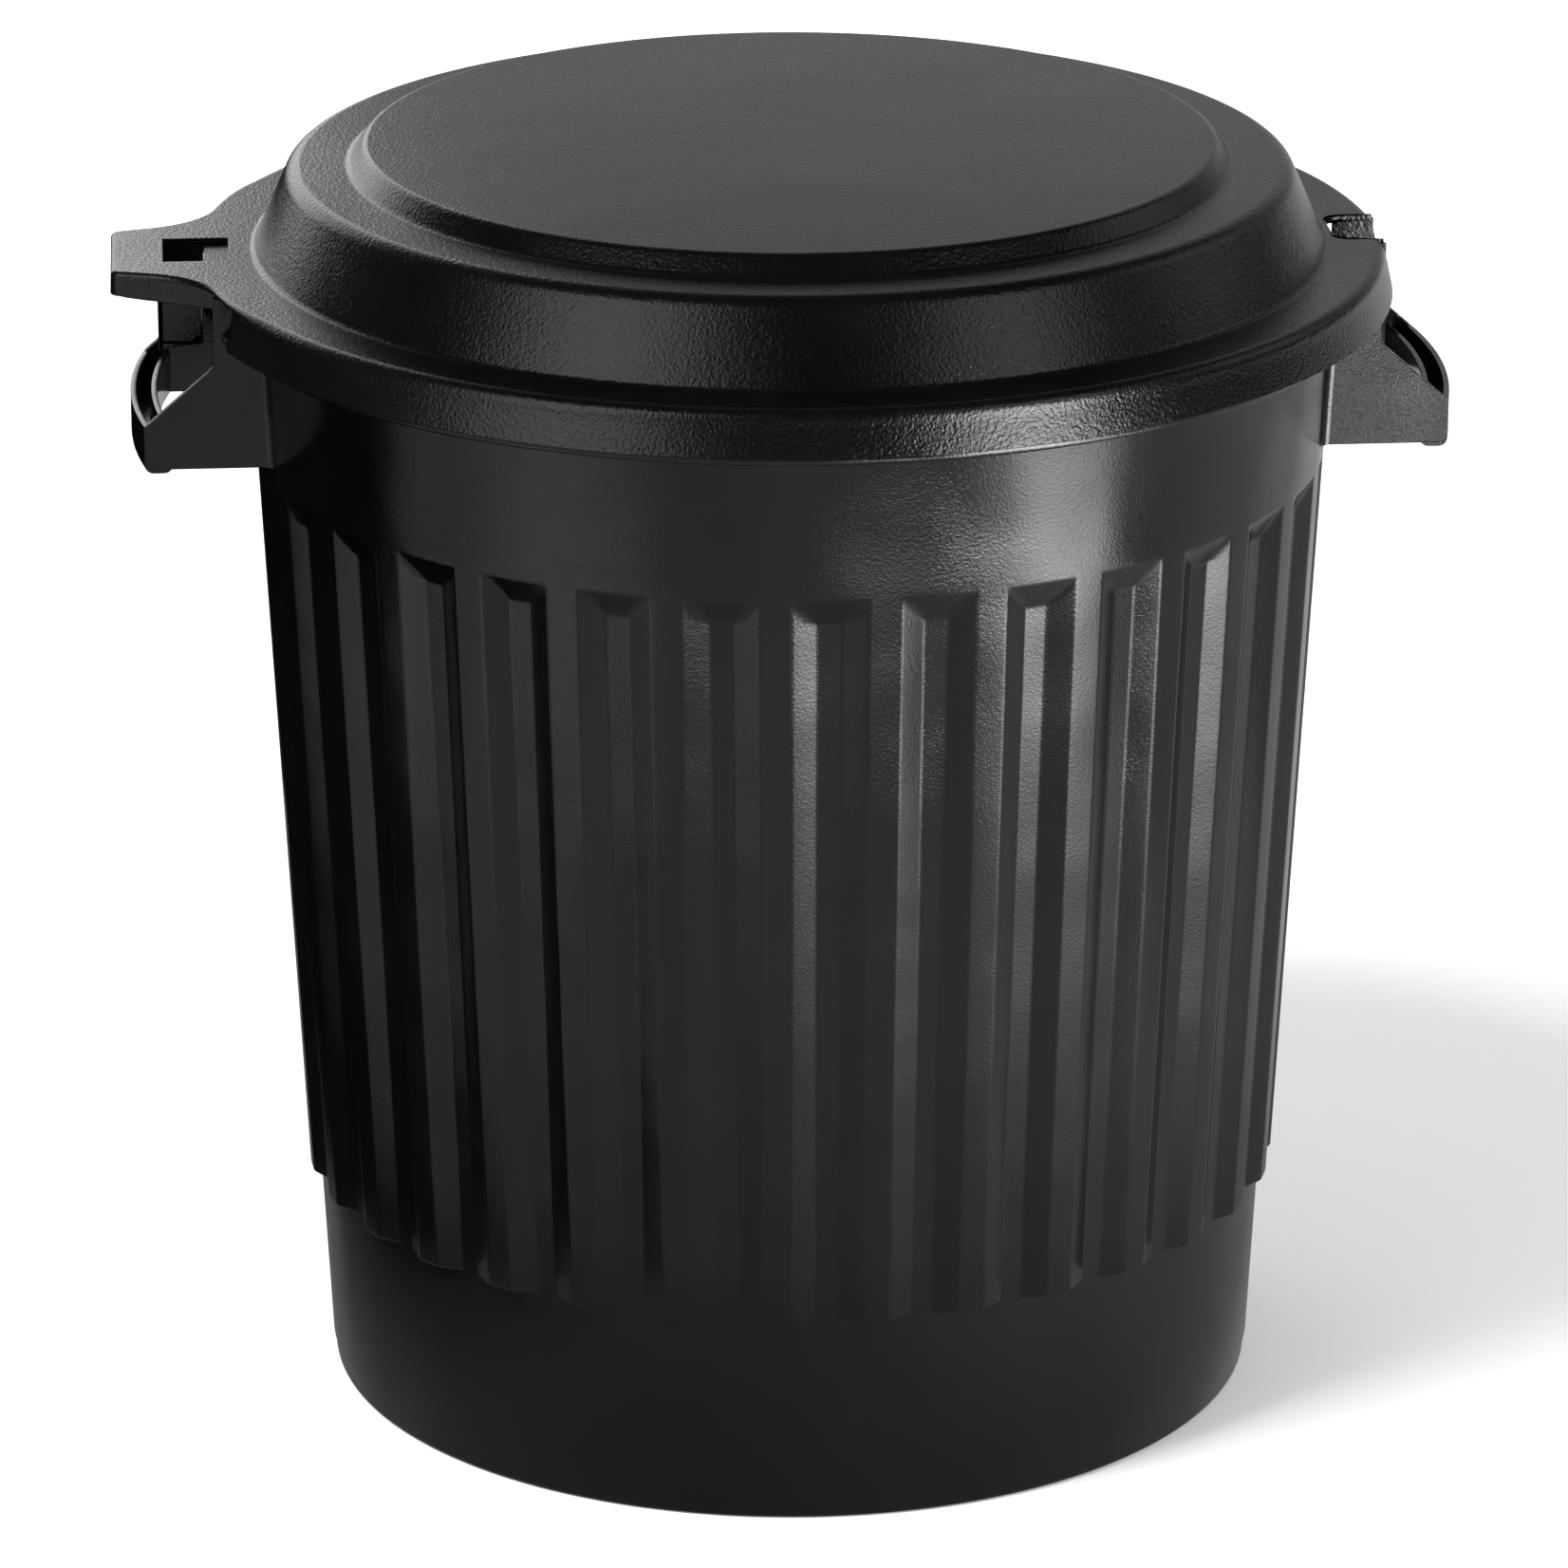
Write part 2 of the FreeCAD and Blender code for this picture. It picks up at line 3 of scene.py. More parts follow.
import bmesh
import bpy
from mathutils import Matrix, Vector


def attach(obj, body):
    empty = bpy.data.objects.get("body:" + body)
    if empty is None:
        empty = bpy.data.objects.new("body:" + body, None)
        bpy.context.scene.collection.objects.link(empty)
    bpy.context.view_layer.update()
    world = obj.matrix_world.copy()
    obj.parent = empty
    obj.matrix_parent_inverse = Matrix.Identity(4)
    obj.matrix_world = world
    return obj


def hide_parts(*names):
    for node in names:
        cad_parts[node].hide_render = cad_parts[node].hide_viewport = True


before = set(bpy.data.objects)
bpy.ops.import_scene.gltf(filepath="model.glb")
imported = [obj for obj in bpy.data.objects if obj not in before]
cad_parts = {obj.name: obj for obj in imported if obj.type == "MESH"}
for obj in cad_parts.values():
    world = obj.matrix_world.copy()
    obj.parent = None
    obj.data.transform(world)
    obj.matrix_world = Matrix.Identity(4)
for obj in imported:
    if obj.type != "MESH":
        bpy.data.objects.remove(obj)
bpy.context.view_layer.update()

# Round black plastic refuse can with a domed lift-off lid.
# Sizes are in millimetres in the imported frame: +Z up, handles along X, lifting tab at -X.

MM = 0.001

# Shading: edges sharper than these angles stay crisp, and moulded faces larger than this are flat
SHELL_SHARP = math.radians(38)
MOULD_SHARP = math.radians(24)
FLAT_FACE = 200.0

# Fineness of the meshes
ARC_STEP = math.radians(18)
DOME_STEP = math.radians(13)
EDGE_STEPS = (-1.1, -0.4, 0.4, 1.1)
QUARTER_STEPS = 6
GRIP_STATIONS = 24
WINDOW_STEPS = 3
BLEND_STEPS = 12
SKIRT_STEPS = 96
NOTCH_STEPS = 7
ROUND_SEGMENTS = 5
EDGE_SEGMENTS = 2
KEEN_ANGLE = math.radians(50)
CLOSE = 0.01
SEAM = 0.02

# Can wall and foot
BASE_RADIUS = 203.4
DRAFT = math.tan(math.radians(2.95))
CAN_WALL = 2.5
RIM_TOP = 505.0
RIM_ROUND = 1.1
FOOT_HEIGHT = 10.0
FOOT_STEP = 0.8
FOOT_WIDTH = 5.0
FOOT_ROUND = 2.5
FOOT_INNER_ROUND = 0.8
FOOT_CREASE = 0.4
FOOT_EDGE = 0.35
UNDER_ROUND = 1.0
FLOOR_UNDER = 6.0
FLOOR_TOP = 9.0
FLOOR_ROUND = 3.0

# Flutes
FLUTE_COUNT = 32
FLUTE_DEPTH = 5.1
RIB_BOTTOM = 94.0
FLUTE_TOP = 419.5
FLUTE_HALF_LOW = 4.5
FLUTE_HALF_HIGH = 5.2
FLUTE_SIDE_RUN = 10.6
FLUTE_HIP_RUN = 11.2
FLUTE_SOFT = 0.34
INNER_WIDEN = 0.57
INNER_RAISE = 0.54
RIB_STEP = FLUTE_DEPTH - 0.6

# Rows of the wall: plain and straight parts, hips, and ribs' lower ends as (lowered by, height above)
BAND_START = 40.0
BAND_ROWS = (65.0, 85.0, 92.0, 93.3)
INSIDE_BAND = 95.5
STRAIGHT_ROWS = (120, 200, 280, 360)
HIP_ROWS = (3.4, 5.6, 7.8)
ROW_MARGIN = 4
RIB_FOOT = ((RIB_STEP, -0.15), (0.9, -0.05), (0.4, 0.1), (0.12, 0.45), (0.0, 1.1))

# Rim flange of the can
FLANGE_RADIUS = 251.0
FLANGE_LOW = 483.5
FLANGE_HIGH = 487.4
FLANGE_ROUND = 1.4
FLANGE_FILLET = 1.2
RIM_FILLET = 1.0

# Handles
HANDLE_HALF = 58.5
GUSSET_THICK = 3.2
GUSSET_LOW = 428.2
NECK_RADIUS = 247.5
NECK_Z = 473.2
NECK_ROUND = 8.0
ROOT_ROUND = 3.2
ROOT_SINK = 1.0
ROOT_BITE = 0.5
GUSSET_BITE = 1.5
GUSSET_CORNER = 1.0
GRIP_RADIUS = 283.2
GRIP_WIDTH = 11.5
GRIP_LOW = 426.2
GRIP_TOP = 447.2
GRIP_WALL = 2.6
GRIP_GROOVE = 15.0
GRIP_ROUND = 3.5
GRIP_CORNER = 3.0
GROOVE_ROUND = 0.8
MOULD_EDGE = 0.5

# Catch block on the rim
CATCH_HALF = 15.0
CATCH_TOP = 505.6
LEFT_NECK_TOP = 503.0
CATCH_EDGE = 0.8
CATCH_BITE = 1.0

# Lid
LID_WALL = 2.6
LID_Z = 508.0
LID_UNDER = LID_Z - LID_WALL
LID_TOP = 552.5
SHOULDER_Z = 543.5
DOME_RADIUS = 229.0
DOME_FOOT_ROUND = 3.0
SHOULDER_RADIUS = 213.5
SHOULDER_ROUND = 8.0
DISC_RADIUS = 188.0
DISC_TOP_RADIUS = 181.5
DISC_ROUND = 4.0
LEDGE_START = 231.2
LID_RIM_RADIUS = 254.5
LID_RIM_ROUND = 5.0
SKIRT_DEPTH = 19.6
SKIRT_LEAN = 3.5
SKIRT_GAP_DEG = 20.0
SKIRT_START_DEG = 9.0
SKIRT_STEP_DEG = 0.06
EDGE_MARGIN = 0.4
LIP_EDGE = 0.35
THIN_EDGE = 0.5
THIN_STEP = 0.03
THIN_INSETS = (0.8, 1.6, LID_WALL)
UNDER_CREASE = 1.5
LEDGE_SHARES = (0.25, 0.6)

# Lifting tab, window and hook
TAB_REACH = 290.0
TAB_HALF_OUTER = 32.0
TAB_HALF_INNER = 43.0
TAB_INNER = 252.0
TAB_BLEND = 40.0
BLEND_NUDGE = 0.04
TAB_CORNER = 5.0
TAB_ROUND = 1.8
TAB_DEPTH_OUTER = 10.5
TAB_DEPTH_INNER = 13.5
TAB_DEEPER = (TAB_DEPTH_INNER - TAB_DEPTH_OUTER) / (TAB_REACH - TAB_INNER)
TAB_SLANT = Vector((TAB_REACH - TAB_INNER, TAB_HALF_INNER - TAB_HALF_OUTER)).normalized()
TAB_LEAN = 0.3
STRAIGHT_HALF = 30.0
FAN_HALF = 75.0
CHEEK_INSET = 0.1
CHEEK_END = 246.0
CHEEK_EDGE = 0.4
CHEEK_BEVEL = 0.15
WINDOW_HALF = 18.0
WINDOW_FRAME = 22.0
WINDOW_NEAR = 240.0
WINDOW_FAR = 268.0
HOOK_OUTER = 270.6
HOOK_WALL = 2.6
HOOK_WEB = 18.4
HOOK_RIB_END = 239.0
HOOK_RIB_LOW = 491.2
HOOK_LOW = 470.0
HOOK_FOOT = 4.2
HOOK_LIP = 2.0
HOOK_TIP = 251.5
HOOK_BITE = 1.0

# Notch opposite the tab
NOTCH_HALF = 19.0
NOTCH_INNER = 232.5
NOTCH_ROUND = 7.0
NOTCH_WALL_ROOT = 236.5
NOTCH_WALL_TIP = 254.5
NOTCH_WALL_LOW = 489.5
CUT_EDGE = 0.6
CUT_STEPS = (0.3, 1.0)
NOTCH_MIDDLE = (6.0, 0.0)


def low_radius(z):
    """Outside of the lower band and of the flute floors."""
    return BASE_RADIUS + z * DRAFT


def land_radius(z):
    """Outside of the ribs and of the upper band."""
    return low_radius(z) + FLUTE_DEPTH


def smooth_max(a, b, soft):
    near = max(soft - abs(a - b), 0.0) / soft
    return max(a, b) + near * near * soft / 4


def smooth_min(a, b, soft):
    return -smooth_max(-a, -b, soft)


def eased(share):
    return share * share * (3 - 2 * share)


def rounded(points, step=ARC_STEP):
    """Plain points of a path whose corners are given as (across, up, rounding)."""
    path = [Vector(points[0][:2])]
    for before, here, after in zip(points, points[1:], points[2:]):
        corner = Vector(here[:2])
        if here[2] == 0:
            path.append(corner)
            continue
        to_before = (Vector(before[:2]) - corner).normalized()
        to_after = (Vector(after[:2]) - corner).normalized()
        half = to_before.angle(to_after) / 2
        turn = math.pi - 2 * half
        middle = (to_before + to_after).normalized()
        across = (to_before - to_after).normalized()
        centre = corner + middle * (here[2] / math.sin(half))
        count = max(2, math.ceil(turn / step))
        for i in range(count + 1):
            angle = turn * (0.5 - i / count)
            path.append(centre - middle * (here[2] * math.cos(angle)) + across * (here[2] * math.sin(angle)))
    path.append(Vector(points[-1][:2]))
    return path


def closed_rounded(corners):
    """Rounded closed outline of (across, up, rounding) corners."""
    first = corners[0]
    last = corners[-1]
    start = ((first[0] + last[0]) / 2, (first[1] + last[1]) / 2, 0)
    return rounded([start] + corners + [start])[:-1]


# Materials

WEAR_ROUGHNESS = 0.3
FLOOR_TONES = ((0.86, 0.86, 0.86, 1), (0.9, 0.9, 0.9, 1))


def new_group(name, inputs, outputs):
    group = bpy.data.node_groups.new(name, "ShaderNodeTree")
    for label, kind, value in inputs:
        made = group.interface.new_socket(name=label, in_out="INPUT", socket_type=kind)
        if value is not None:
            made.default_value = value
    for label, kind in outputs:
        group.interface.new_socket(name=label, in_out="OUTPUT", socket_type=kind)
    entry = group.nodes.new("NodeGroupInput")
    leave = group.nodes.new("NodeGroupOutput")
    return group, entry, leave


def maths(tree, operation, first, second):
    node = tree.nodes.new("ShaderNodeMath")
    node.operation = operation
    for slot, value in zip(node.inputs, (first, second)):
        if isinstance(value, (int, float)):
            slot.default_value = value
        else:
            tree.links.new(value, slot)
    return node.outputs[0]


def noise(tree, position, scale, detail, rough=0.5):
    node = tree.nodes.new("ShaderNodeTexNoise")
    node.inputs["Detail"].default_value = detail
    node.inputs["Roughness"].default_value = rough
    tree.links.new(position, node.inputs["Vector"])
    if isinstance(scale, (int, float)):
        node.inputs["Scale"].default_value = scale
    else:
        tree.links.new(scale, node.inputs["Scale"])
    return node.outputs["Fac"]


def ramp(tree, value, low, high, to_low, to_high, kind="LINEAR"):
    node = tree.nodes.new("ShaderNodeMapRange")
    node.interpolation_type = kind
    tree.links.new(value, node.inputs["Value"])
    labels = ("From Min", "From Max", "To Min", "To Max")
    for label, number in zip(labels, (low, high, to_low, to_high)):
        node.inputs[label].default_value = number
    return node.outputs["Result"]


def far_from(tree, position, spot, near, far, to_near, to_far):
    """Value that changes smoothly with the distance from a spot."""
    away = tree.nodes.new("ShaderNodeVectorMath")
    away.operation = "DISTANCE"
    away.inputs[1].default_value = spot
    tree.links.new(position, away.inputs[0])
    return ramp(tree, away.outputs["Value"], near, far, to_near, to_far, "SMOOTHSTEP")


def moulded_skin():
    """Grain of the mould, slow sinks in the wall and patches of uneven gloss."""
    group, entry, leave = new_group(
        "moulded_skin",
        [
            ("Position", "NodeSocketVector", None),
            ("Grain Scale", "NodeSocketFloat", 700.0),
            ("Grain Depth", "NodeSocketFloat", 0.2),
            ("Sink Scale", "NodeSocketFloat", 18.0),
            ("Sink Depth", "NodeSocketFloat", 1.0),
            ("Patch Scale", "NodeSocketFloat", 9.0),
        ],
        [("Height", "NodeSocketFloat"), ("Patches", "NodeSocketFloat")],
    )
    position = entry.outputs["Position"]
    grain = noise(group, position, entry.outputs["Grain Scale"], 2.0, 0.6)
    sinks = noise(group, position, entry.outputs["Sink Scale"], 1.0)
    patches = noise(group, position, entry.outputs["Patch Scale"], 4.0, 0.62)
    fine = maths(group, "MULTIPLY", grain, entry.outputs["Grain Depth"])
    slow = maths(group, "MULTIPLY", sinks, entry.outputs["Sink Depth"])
    group.links.new(maths(group, "ADD", fine, slow), leave.inputs["Height"])
    group.links.new(ramp(group, patches, 0.3, 0.7, 0.0, 1.0), leave.inputs["Patches"])
    return group


def handling_wear():
    """Specks of dust that gather in places, as one mask."""
    group, entry, leave = new_group(
        "handling_wear",
        [
            ("Position", "NodeSocketVector", None),
            ("Speck Scale", "NodeSocketFloat", 260.0),
            ("Speck Share", "NodeSocketFloat", 0.2),
        ],
        [("Wear", "NodeSocketFloat")],
    )
    position = entry.outputs["Position"]
    specks = noise(group, position, entry.outputs["Speck Scale"], 3.0, 0.7)
    places = noise(group, position, 6.0, 2.0)
    keen = ramp(group, specks, 0.6, 0.74, 0.0, 1.0)
    here = ramp(group, places, 0.42, 0.66, 0.0, 1.0)
    both = maths(group, "MULTIPLY", keen, here)
    group.links.new(maths(group, "MULTIPLY", both, entry.outputs["Speck Share"]), leave.inputs["Wear"])
    return group


def black_plastic(name, skin, wear, look):
    """Moulded black plastic with its own grain, gloss and wear."""
    material = bpy.data.materials.new(name)
    material.use_nodes = True
    tree = material.node_tree
    shader = tree.nodes["Principled BSDF"]
    place = tree.nodes.new("ShaderNodeTexCoord").outputs["Object"]

    surface = tree.nodes.new("ShaderNodeGroup")
    surface.node_tree = skin
    tree.links.new(place, surface.inputs["Position"])
    for label in ("Grain Scale", "Grain Depth", "Sink Scale", "Sink Depth", "Patch Scale"):
        surface.inputs[label].default_value = look[label]

    used = tree.nodes.new("ShaderNodeGroup")
    used.node_tree = wear
    tree.links.new(place, used.inputs["Position"])
    used.inputs["Speck Scale"].default_value = look["Speck Scale"]
    used.inputs["Speck Share"].default_value = look["Speck Share"]

    blend = tree.nodes.new("ShaderNodeMix")
    blend.data_type = "RGBA"
    blend.inputs[6].default_value = look["dark"]
    blend.inputs[7].default_value = look["pale"]
    tree.links.new(surface.outputs["Patches"], blend.inputs[0])
    dusty = tree.nodes.new("ShaderNodeMix")
    dusty.data_type = "RGBA"
    dusty.inputs[7].default_value = look["dust"]
    tree.links.new(blend.outputs[2], dusty.inputs[6])
    tree.links.new(used.outputs["Wear"], dusty.inputs[0])
    tree.links.new(dusty.outputs[2], shader.inputs["Base Color"])

    gloss = ramp(tree, surface.outputs["Patches"], 0.0, 1.0, look["rough low"], look["rough high"])
    worn = maths(tree, "ADD", gloss, maths(tree, "MULTIPLY", used.outputs["Wear"], WEAR_ROUGHNESS))
    tree.links.new(worn, shader.inputs["Roughness"])

    bump = tree.nodes.new("ShaderNodeBump")
    bump.inputs["Strength"].default_value = 1.0
    bump.inputs["Distance"].default_value = look["bump"]
    tree.links.new(surface.outputs["Height"], bump.inputs["Height"])
    tree.links.new(bump.outputs["Normal"], shader.inputs["Normal"])
    shader.inputs["Specular IOR Level"].default_value = look["specular"]
    return material


def mixed(tree, first, share, second, other):
    """Sum of two values, each times its own share."""
    return maths(tree, "ADD", maths(tree, "MULTIPLY", first, share), maths(tree, "MULTIPLY", second, other))


def ground_glow(tree, place):
    """Painted glow of the ground as gloss sees it, in metres, which makes painted reflections: even light
    with a dark wedge on the left, two bright patches in front and a streak to the front right."""
    split = tree.nodes.new("ShaderNodeSeparateXYZ")
    tree.links.new(place, split.inputs[0])
    x, y = split.outputs["X"], split.outputs["Y"]
    # Even light, a little stronger beyond the can
    behind = ramp(tree, y, 0.3, 0.9, 0.52, 0.62)
    # Dark wedge: the left side is lit only in front of a slanting line
    slant = mixed(tree, x, 0.26, y, 0.965)
    before = ramp(tree, slant, -0.36, -0.28, 0.85, 0.0)
    within = ramp(tree, x, -1.46, -1.3, 0.0, 1.0)
    nearer = maths(tree, "MAXIMUM", within, ramp(tree, y, -0.55, -0.3, 1.0, 0.0))
    right_of = ramp(tree, x, -0.36, -0.2, 0.0, 1.0)
    beside = maths(tree, "MAXIMUM", right_of, maths(tree, "MULTIPLY", before, nearer))
    # Painted shade: darker near the can, where the can shades the ground
    under = far_from(tree, place, (0, 0, 0), 0.22, 0.7, 0.42, 1.0)
    plain = maths(tree, "MULTIPLY", behind, maths(tree, "MULTIPLY", beside, under))
    # Bright patches in front
    left_patch = far_from(tree, place, (-0.9, -0.8, 0), 0.1, 0.5, 0.5, 0.0)
    right_patch = far_from(tree, place, (0.47, -1.55, 0), 0.15, 0.45, 3.6, 0.0)
    patches = maths(tree, "ADD", left_patch, right_patch)
    # Streak that brightens away from the can
    along = mixed(tree, x, 0.76, y, -0.65)
    across = mixed(tree, x, 0.65, y, 0.76)
    rise = maths(tree, "POWER", ramp(tree, along, 0.3, 1.2, 0.0, 2.0), 3.0)
    streak = maths(tree, "ADD", rise, ramp(tree, along, 0.1, 0.4, 0.0, 0.25))
    narrow = ramp(tree, maths(tree, "ABSOLUTE", across, 0.0), 0.06, 0.34, 1.0, 0.0)
    lit = maths(tree, "ADD", patches, maths(tree, "MULTIPLY", streak, narrow))
    return maths(tree, "ADD", plain, lit)


def studio_floor():
    """Pale floor with painted light: it glows faintly near the can and fully further away, and gloss sees a
    painted glow of its own.
    """
    material = bpy.data.materials.new("pale_studio_floor")
    material.use_nodes = True
    tree = material.node_tree
    shader = tree.nodes["Principled BSDF"]
    place = tree.nodes.new("ShaderNodeTexCoord").outputs["Object"]
    cloudy = noise(tree, place, 1.5, 2.0)
    tone = tree.nodes.new("ShaderNodeMix")
    tone.data_type = "RGBA"
    tone.inputs[6].default_value, tone.inputs[7].default_value = FLOOR_TONES
    tree.links.new(cloudy, tone.inputs[0])
    tree.links.new(tone.outputs[2], shader.inputs["Base Color"])
    shader.inputs["Roughness"].default_value = 0.9
    shader.inputs["Specular IOR Level"].default_value = 0.0
    shader.inputs["Emission Color"].default_value = (1, 1, 1, 1)
    # Painted light: the floor glows faintly near the can and fully far away, which whitens the ground
    painted_far_glow = far_from(tree, place, (0, 0, 0), 0.8, 2.4, 0.12, 1.0)
    tree.links.new(painted_far_glow, shader.inputs["Emission Strength"])

    glow = tree.nodes.new("ShaderNodeEmission")
    tree.links.new(ground_glow(tree, place), glow.inputs["Strength"])
    path = tree.nodes.new("ShaderNodeLightPath")
    either = tree.nodes.new("ShaderNodeMixShader")
    tree.links.new(path.outputs["Is Glossy Ray"], either.inputs[0])
    tree.links.new(shader.outputs[0], either.inputs[1])
    tree.links.new(glow.outputs[0], either.inputs[2])
    tree.links.new(either.outputs[0], tree.nodes["Material Output"].inputs["Surface"])
    return material


# Mesh helpers


def mesh_of(name, points, faces):
    mesh = bpy.data.meshes.new(name)
    mesh.from_pydata([Vector(point) * MM for point in points], [], faces)
    return mesh


def face_outwards(mesh):
    form = bmesh.new()
    form.from_mesh(mesh)
    bmesh.ops.recalc_face_normals(form, faces=form.faces)
    form.to_mesh(mesh)
    form.free()


def finished(name, points, faces, material, sharp=SHELL_SHARP):
    """A piece in the shared frame, smooth apart from its sharp edges."""
    mesh = mesh_of(name, points, faces)
    face_outwards(mesh)
    return placed(name, mesh, material, sharp)


def placed(name, mesh, material, sharp=SHELL_SHARP):
    mesh.shade_smooth()
    mesh.set_sharp_from_angle(angle=sharp)
    mesh.materials.clear()
    mesh.materials.append(material)
    piece = bpy.data.objects.new(name, mesh)
    bpy.context.scene.collection.objects.link(piece)
    return piece


def bevel(form, edges, size, segments):
    bmesh.ops.bevel(form, geom=edges, offset=size, segments=segments, profile=0.5, affect="EDGES")


class Mould:
    """Points and faces of several solids that make one piece."""

    def __init__(self):
        self.points = []
        self.faces = []

    def add(self, points, faces):
        base = len(self.points)
        self.points.extend(points)
        self.faces.extend(tuple(base + i for i in face) for face in faces)

    def loft(self, layers):
        """Skin over loops of equal length, closed at both ends."""
        count = len(layers[0])
        points = [point for layer in layers for point in layer]
        faces = []
        for k in range(len(layers) - 1):
            for i in range(count):
                j = (i + 1) % count
                faces.append((k * count + i, k * count + j, (k + 1) * count + j, (k + 1) * count + i))
        faces.append(tuple(range(count))[::-1])
        faces.append(tuple((len(layers) - 1) * count + i for i in range(count)))
        self.add(points, faces)

    def plate(self, outline, y_low, y_high, edge, rounding=None):
        """Upright plate on an (x, z) outline with softened edges; some outer edges may be rounded more."""
        form = bmesh.new()
        loops = []
        for y in (y_low, y_high):
            loops.append([form.verts.new((x, y, z)) for x, z in outline])
        count = len(outline)
        form.faces.new(loops[0])
        form.faces.new(loops[1][::-1])
        for i in range(count):
            j = (i + 1) % count
            form.faces.new((loops[0][i], loops[1][i], loops[1][j], loops[0][j]))
        bmesh.ops.recalc_face_normals(form, faces=form.faces)
        if rounding:
            wanted, size = rounding
            picked = [e for e in form.edges if all(wanted(v.co) for v in e.verts)]
            bevel(form, picked, size, ROUND_SEGMENTS)
        keen = [e for e in form.edges if e.is_manifold and e.calc_face_angle() > KEEN_ANGLE]
        bevel(form, keen, edge, EDGE_SEGMENTS)
        form.verts.index_update()
        self.add([v.co.copy() for v in form.verts], [[v.index for v in f.verts] for f in form.faces])
        form.free()

    def piece(self, name, material):
        made = finished(name, self.points, self.faces, material, MOULD_SHARP)
        for face in made.data.polygons:
            face.use_smooth = face.area < FLAT_FACE * MM * MM
        return made


# Can wall with its flutes


def relief(y, z, widen=0.0, raise_by=0.0):
    """Height of the wall's face above the flute floor."""
    taper = (FLUTE_HALF_HIGH - FLUTE_HALF_LOW) / (FLUTE_TOP - RIB_BOTTOM)
    half = FLUTE_HALF_LOW + widen + (z - RIB_BOTTOM) * taper
    side = (abs(y) - half) * FLUTE_DEPTH / FLUTE_SIDE_RUN
    hip = FLUTE_DEPTH + (z - FLUTE_TOP - raise_by) * FLUTE_DEPTH / FLUTE_HIP_RUN
    slope = smooth_max(side, hip, FLUTE_SOFT)
    return smooth_min(FLUTE_DEPTH, smooth_max(0.0, slope, FLUTE_SOFT), FLUTE_SOFT)


def flute_columns(z):
    """Distances from a flute's middle to the middle of the next rib, close together at the edges."""
    z = min(max(z, RIB_BOTTOM), FLUTE_TOP)
    share = (z - RIB_BOTTOM) / (FLUTE_TOP - RIB_BOTTOM)
    half = FLUTE_HALF_LOW + (FLUTE_HALF_HIGH - FLUTE_HALF_LOW) * share
    land = half + FLUTE_SIDE_RUN
    middle = land_radius(z) * math.pi / FLUTE_COUNT
    marks = [half + step for step in EDGE_STEPS]
    marks += [half + FLUTE_SIDE_RUN * part for part in (0.35, 0.65)]
    marks += [land + step for step in EDGE_STEPS]
    marks += [(land + middle) / 2, middle]
    return [-mark for mark in reversed(marks)] + [0.0] + marks


def can_rows():
    """Rows of the wall from the middle of the underside round to the middle of the floor.

    Each row is (radius, height, side, drop): side is 0 for a plain ring, 1 for the fluted outside and
    -1 for the fluted inside, and drop lowers the relief."""
    rows = []
    foot = low_radius(FOOT_HEIGHT) - FOOT_STEP
    under = [
        (0, FLOOR_UNDER, 0),
        (foot - FOOT_WIDTH, FLOOR_UNDER, UNDER_ROUND),
        (foot - FOOT_WIDTH, 0, FOOT_INNER_ROUND),
        (foot - FOOT_HEIGHT * DRAFT, 0, FOOT_ROUND),
        (foot, FOOT_HEIGHT, FOOT_CREASE),
        (low_radius(FOOT_HEIGHT), FOOT_HEIGHT, FOOT_EDGE),
        (low_radius(BAND_START), BAND_START, 0),
    ]
    rows += [(r, z, 0, 0) for r, z in rounded(under)]
    rows += [(low_radius(z), z, 0, 0) for z in BAND_ROWS]
    for drop, lift in RIB_FOOT:
        z = RIB_BOTTOM + lift
        rows.append((low_radius(z), z, 1, drop))
    hip = FLUTE_TOP - FLUTE_HIP_RUN
    heights = list(STRAIGHT_ROWS) + [hip - ROW_MARGIN]
    heights += [hip + step for step in EDGE_STEPS + HIP_ROWS]
    heights += [FLUTE_TOP + step for step in EDGE_STEPS + (ROW_MARGIN,)]
    rows += [(low_radius(z), z, 1, 0) for z in heights]
    band = FLUTE_TOP + 2 * ROW_MARGIN
    rim = [
        (land_radius(band), band, 0),
        (land_radius(FLANGE_LOW), FLANGE_LOW, FLANGE_FILLET),
        (FLANGE_RADIUS, FLANGE_LOW, FLANGE_ROUND),
        (FLANGE_RADIUS, FLANGE_HIGH, FLANGE_ROUND),
        (land_radius(FLANGE_HIGH), FLANGE_HIGH, RIM_FILLET),
        (land_radius(RIM_TOP), RIM_TOP, RIM_ROUND),
        (land_radius(RIM_TOP) - CAN_WALL, RIM_TOP, RIM_ROUND),
        (land_radius(band) - CAN_WALL, band, 0),
    ]
    rows += [(r, z, 0, 0) for r, z in rounded(rim)]
    rows += [(low_radius(z) - CAN_WALL, z, -1, 0) for z in reversed(heights)]
    for drop, lift in reversed(RIB_FOOT):
        z = RIB_BOTTOM + CAN_WALL + lift
        rows.append((low_radius(z) - CAN_WALL, z, -1, drop))
    inside = [
        (low_radius(INSIDE_BAND) - CAN_WALL, INSIDE_BAND, 0),
        (low_radius(FLOOR_TOP) - CAN_WALL, FLOOR_TOP, FLOOR_ROUND),
        (0, FLOOR_TOP, 0),
    ]
    rows += [(r, z, 0, 0) for r, z in rounded(inside)]
    return rows


